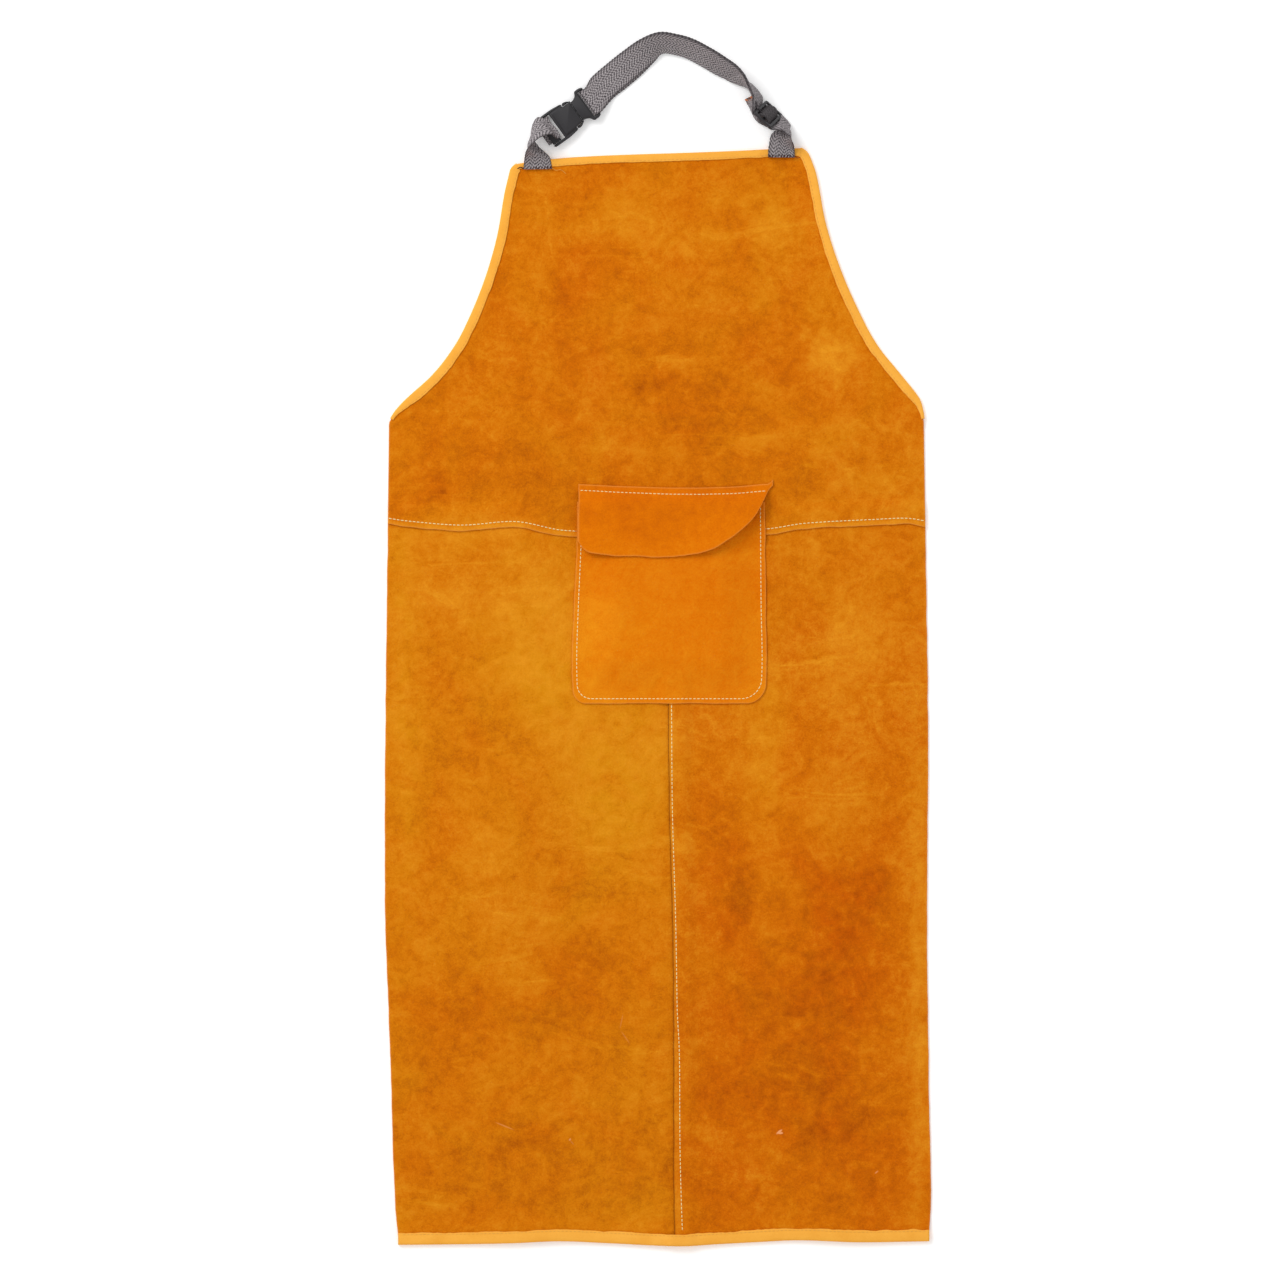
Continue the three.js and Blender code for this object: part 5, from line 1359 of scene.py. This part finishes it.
def spots(add, place, scale, detail, low, high, rough=0.5, warp=0.0):
    """Noise turned into a value that runs from -1 to 1 between low and high."""
    value = add("TexNoise", 0, Vector=place, Scale=scale, Detail=detail, Roughness=rough, Distortion=warp)
    return add("MapRange", 0, _0=value, _1=low, _2=high, _3=-1.0, _4=1.0)


def total(add, *terms):
    """Sum of socket times share."""
    result = 0.0
    for value, share in terms:
        result = calculate(add, "MULTIPLY_ADD", value, share, result)
    return result


# Pale scratches and flecks: middle, half length and width, turn in degrees and strength.
MARKS = table(
    "x y long wide turn share",
    (123.2, 110.6, 3.9, 1.3, 38, 0.85),
    (124.4, 109.4, 2.9, 1.3, 0, 0.85),
    (221.6, 69.8, 2.4, 0.8, 40, 0.45),
    (-154.8, 116.5, 10.5, 0.8, -22, 0.26),
    (-88.6, 102.8, 1.5, 1, 50, 0.55),
    (-86.4, 99.6, 3, 0.6, -50, 0.2),
    (-36.5, 222.2, 8, 0.7, 78, 0.15),
    (-32.4, 206.1, 8, 0.7, -55, 0.15),
)
MARK_COLOUR = (244, 168, 112)
CUT_EDGE = (232, 150, 66)
# Painted shade along the cut edge at the centre seam.
SEAM_SHADE = (112, 48, 4)
LEATHER_BASE = (210, 112, 3)
LEATHER_PALE = (234, 152, 32)
LEATHER_DARK = (152, 66, 2)
LEATHER_RED = (205, 86, 0)
LEATHER_YELLOW = (214, 134, 10)


def mark_share(add, place):
    """How much of the colour of its marks the hide has at a place."""
    result = 0.0
    for x, y, long, wide, turn, share in zip(*MARKS.values()):
        middle = ((x + ORIGIN_X) * MM, (y + ORIGIN_Y) * MM, 0.0)
        near = add("Mapping", 0, {"vector_type": "TEXTURE"}, _0=place, _1=middle,
                   _2=(0.0, 0.0, math.radians(turn)), _3=(long * MM, wide * MM, 1.0))
        reach = add("VectorMath", 1, {"operation": "LENGTH"}, _0=near)
        spot = add("MapRange", 0, _0=reach, _1=0.6, _2=1.1, _3=float(share), _4=0.0)
        result = calculate(add, "MAXIMUM", result, spot)
    return result


def leather(name, base, pale, dark, red, yellow, mottle=1.0):
    material, add, connect = new_material(name, 0.95, 0.06)
    place = add("TexCoord", 3)
    light = add("Attribute", 2, {"attribute_name": "light"})
    warm = add("Attribute", 2, {"attribute_name": "warm"})
    cut = add("Attribute", 2, {"attribute_name": "edge"})
    cloud = spots(add, place, 8.0, 4.0, 0.3, 0.7, 0.6, 0.6)
    patch = spots(add, place, 30.0, 6.0, 0.32, 0.68, 0.7, 1.2)
    fleck = spots(add, place, 130.0, 6.0, 0.3, 0.7, 0.75)
    grain = spots(add, place, 620.0, 4.0, 0.25, 0.75, 0.7)
    nap = spots(add, place, 2300.0, 2.0, 0.2, 0.8, 0.6)
    drift = add("Mapping", 0, _0=place, _2=(0.0, 0.0, 0.5), _3=(9.0, 34.0, 20.0))
    streak = add("TexNoise", 0, Vector=drift, Scale=1.0, Detail=5.0, Roughness=0.72, Distortion=0.8)
    streak = add("MapRange", 0, _0=streak, _1=0.58, _2=0.74, _3=0.0, _4=1.0)
    # The light attribute brings the stains, with painted highlight and shade on the creases and the raised
    # waist lip.
    tone = total(add, (light, 1.0), (cloud, 0.3 * mottle), (patch, 0.34 * mottle), (fleck, 0.36 * mottle),
                 (grain, 0.36), (nap, 0.2), (streak, 0.55 * mottle))
    hue = total(add, (warm, 1.0), (spots(add, place, 11.0, 5.0, 0.3, 0.7, 0.6, 1.0), 0.45 * mottle),
                (streak, -0.4 * mottle))
    colour = blend_colours(add, calculate(add, "MULTIPLY", hue, 0.6), srgb(*base), srgb(*red))
    colour = blend_colours(add, calculate(add, "MULTIPLY", hue, -0.6), colour, srgb(*yellow))
    colour = blend_colours(add, calculate(add, "MULTIPLY", tone, 0.75), colour, srgb(*pale))
    colour = blend_colours(add, calculate(add, "MULTIPLY", tone, -0.75), colour, srgb(*dark))
    colour = blend_colours(add, calculate(add, "MULTIPLY", cut, 0.6), colour, srgb(*CUT_EDGE))
    # Negative edge values paint shade along the centre seam's cut edge.
    colour = blend_colours(add, calculate(add, "MULTIPLY", cut, -0.8), colour, srgb(*SEAM_SHADE))
    colour = blend_colours(add, mark_share(add, place), colour, srgb(*MARK_COLOUR))
    connect(colour, "Base Color")
    relief = total(add, (patch, 0.3), (fleck, 0.3), (grain, 0.35), (nap, 0.25))
    bump = add("Bump", 0, Strength=0.55, Distance=0.0007, Height=relief)
    connect(bump, "Normal")
    return material


hide = leather("suede", LEATHER_BASE, LEATHER_PALE, LEATHER_DARK, LEATHER_RED, LEATHER_YELLOW)
smooth_hide = leather("pocket_suede", (222, 115, 1), (238, 148, 22), (184, 82, 2), (216, 96, 0),
                      (226, 134, 6), 0.62)


def binding_leather():
    material, add, connect = new_material("binding_leather", 0.7, 0.15)
    place = add("TexCoord", 3)
    rim = add("Attribute", 2, {"attribute_name": "rim"})
    tone = total(add, (spots(add, place, 45.0, 5.0, 0.3, 0.7, 0.6), 0.4),
                 (spots(add, place, 900.0, 3.0, 0.3, 0.7), 0.2))
    colour = blend_colours(add, calculate(add, "MULTIPLY_ADD", tone, 0.5, 0.5), srgb(232, 155, 46),
                           srgb(253, 184, 74))
    colour = blend_colours(add, calculate(add, "MULTIPLY", rim, 0.45), colour, srgb(196, 120, 30))
    connect(colour, "Base Color")
    bump = add("Bump", 0, Strength=0.3, Distance=0.0004, Height=tone)
    connect(bump, "Normal")
    return material


def webbing_yarn():
    material, add, connect = new_material("webbing_yarn", 0.75, 0.25)
    place = add("TexCoord", 3)
    height = add("Attribute", 2, {"attribute_name": "weave"})
    char = add("Attribute", 2, {"attribute_name": "char"})
    border = add("Attribute", 2, {"attribute_name": "border"})
    # The weave's height sets the colour, dark in the grooves and light on the ribs: partly the yarns' own
    # colour, partly painted shade and highlight.
    lit = add("MapRange", 0, _0=height, _1=0.2, _2=0.85, _3=0.0, _4=1.0)
    tone = total(add, (spots(add, place, 500.0, 3.0, 0.3, 0.7), 0.14), (lit, 1.0))
    colour = blend_colours(add, tone, srgb(30, 26, 29), srgb(178, 170, 172))
    colour = blend_colours(add, calculate(add, "MULTIPLY", border, 0.8), colour, srgb(50, 44, 47))
    # Painted shade of the webbing in and near the slider.
    dim = add("Attribute", 2, {"attribute_name": "dim"})
    colour = blend_colours(add, calculate(add, "MULTIPLY", dim, 0.85), colour, srgb(34, 30, 32))
    melted = add("MapRange", 0, _0=add("TexNoise", 0, Vector=place, Scale=380.0, Detail=2.0), _1=0.45, _2=0.6,
                 _3=0.0, _4=1.0)
    burnt = blend_colours(add, melted, srgb(26, 18, 15), srgb(196, 112, 62))
    colour = blend_colours(add, char, colour, burnt)
    connect(colour, "Base Color")
    return material


def plain(name, colour, roughness, specular, grain=0.0, scale=800.0):
    material, add, connect = new_material(name, roughness, specular)
    place = add("TexCoord", 3)
    tone = spots(add, place, scale, 3.0, 0.3, 0.7)
    shade = tuple(0.8 * channel for channel in srgb(*colour)[:3]) + (1,)
    share = calculate(add, "MULTIPLY_ADD", tone, 0.4, 0.5)
    connect(blend_colours(add, share, shade, srgb(*colour)), "Base Color")
    if grain:
        connect(add("Bump", 0, Strength=grain, Distance=0.0002, Height=tone), "Normal")
    return material


thread = plain("thread", (255, 243, 176), 0.7, 0.2, 0.4, 2600)
yellow_thread = plain("yellow_thread", (240, 176, 76), 0.7, 0.2, 0.4, 2600)
dark_thread = plain("dark_thread", (66, 34, 34), 0.7, 0.2, 0.4, 2600)
bound = binding_leather()
yarn = webbing_yarn()
black = plain("black_plastic", (40, 38, 41), 0.5, 0.35, 0.2, 1500)


def finish_with(material, *pieces):
    for piece in pieces:
        piece.data.materials.clear()
        piece.data.materials.append(material)


finish_with(hide, upper_panel, lower_left_panel, lower_right_panel)
finish_with(smooth_hide, pocket, pocket_flap)
finish_with(bound, hem_binding, top_binding, *armhole_bindings)
finish_with(thread, *waist_stitches, *centre_stitches, pocket_stitches, flap_stitches)
finish_with(yellow_thread, hem_stitches, top_stitches, *armhole_stitches)
finish_with(dark_thread, *tab_stitches)
finish_with(yellow_thread, *loose_threads[:2])
finish_with(dark_thread, *loose_threads[2:])
finish_with(yarn, left_tab, outer_strap, return_strap, strap_tail)
finish_with(black, buckle_socket, buckle_plug, slider)

# Camera, floor and light
CAMERA_HEIGHT = 10
VIEW_WIDTH = 1.2954
VIEW_CENTRE = (-0.0179, -0.0004)
FILM = 36
FLOOR_GLOW = 0.12
camera = bpy.data.cameras.new("camera")
camera.lens = FILM * CAMERA_HEIGHT / VIEW_WIDTH
camera.sensor_width = FILM
camera_object = bpy.data.objects.new("camera", camera)
camera_object.location = (*VIEW_CENTRE, CAMERA_HEIGHT)
bpy.context.scene.collection.objects.link(camera_object)
bpy.context.scene.camera = camera_object

bpy.ops.mesh.primitive_plane_add(size=12, location=(0, 0, -0.0004))
floor = bpy.context.object
floor.name = "floor"
material = bpy.data.materials.new("pale_floor")
material.use_nodes = True
shader = material.node_tree.nodes["Principled BSDF"]
shader.inputs["Base Color"].default_value = srgb(254, 254, 254)
shader.inputs["Roughness"].default_value = 0.9
shader.inputs["Emission Color"].default_value = (1, 1, 1, 1)
shader.inputs["Emission Strength"].default_value = FLOOR_GLOW
floor.data.materials.append(material)

world = bpy.data.worlds.new("studio")
world.use_nodes = True
world.node_tree.nodes["Background"].inputs["Color"].default_value = (1, 1, 1, 1)
world.node_tree.nodes["Background"].inputs["Strength"].default_value = 0.8
bpy.context.scene.world = world


def area_light(name, place, size, power):
    light = bpy.data.lights.new(name, "AREA")
    light.shape = "SQUARE"
    light.size = size
    light.energy = power
    lamp = bpy.data.objects.new(name, light)
    lamp.location = place
    lamp.rotation_euler = (Vector(place)).to_track_quat("Z", "Y").to_euler()
    bpy.context.scene.collection.objects.link(lamp)


area_light("soft_box", (-2.6, 2.8, 3.6), 2.2, 115)

bpy.context.scene.view_settings.view_transform = "Standard"
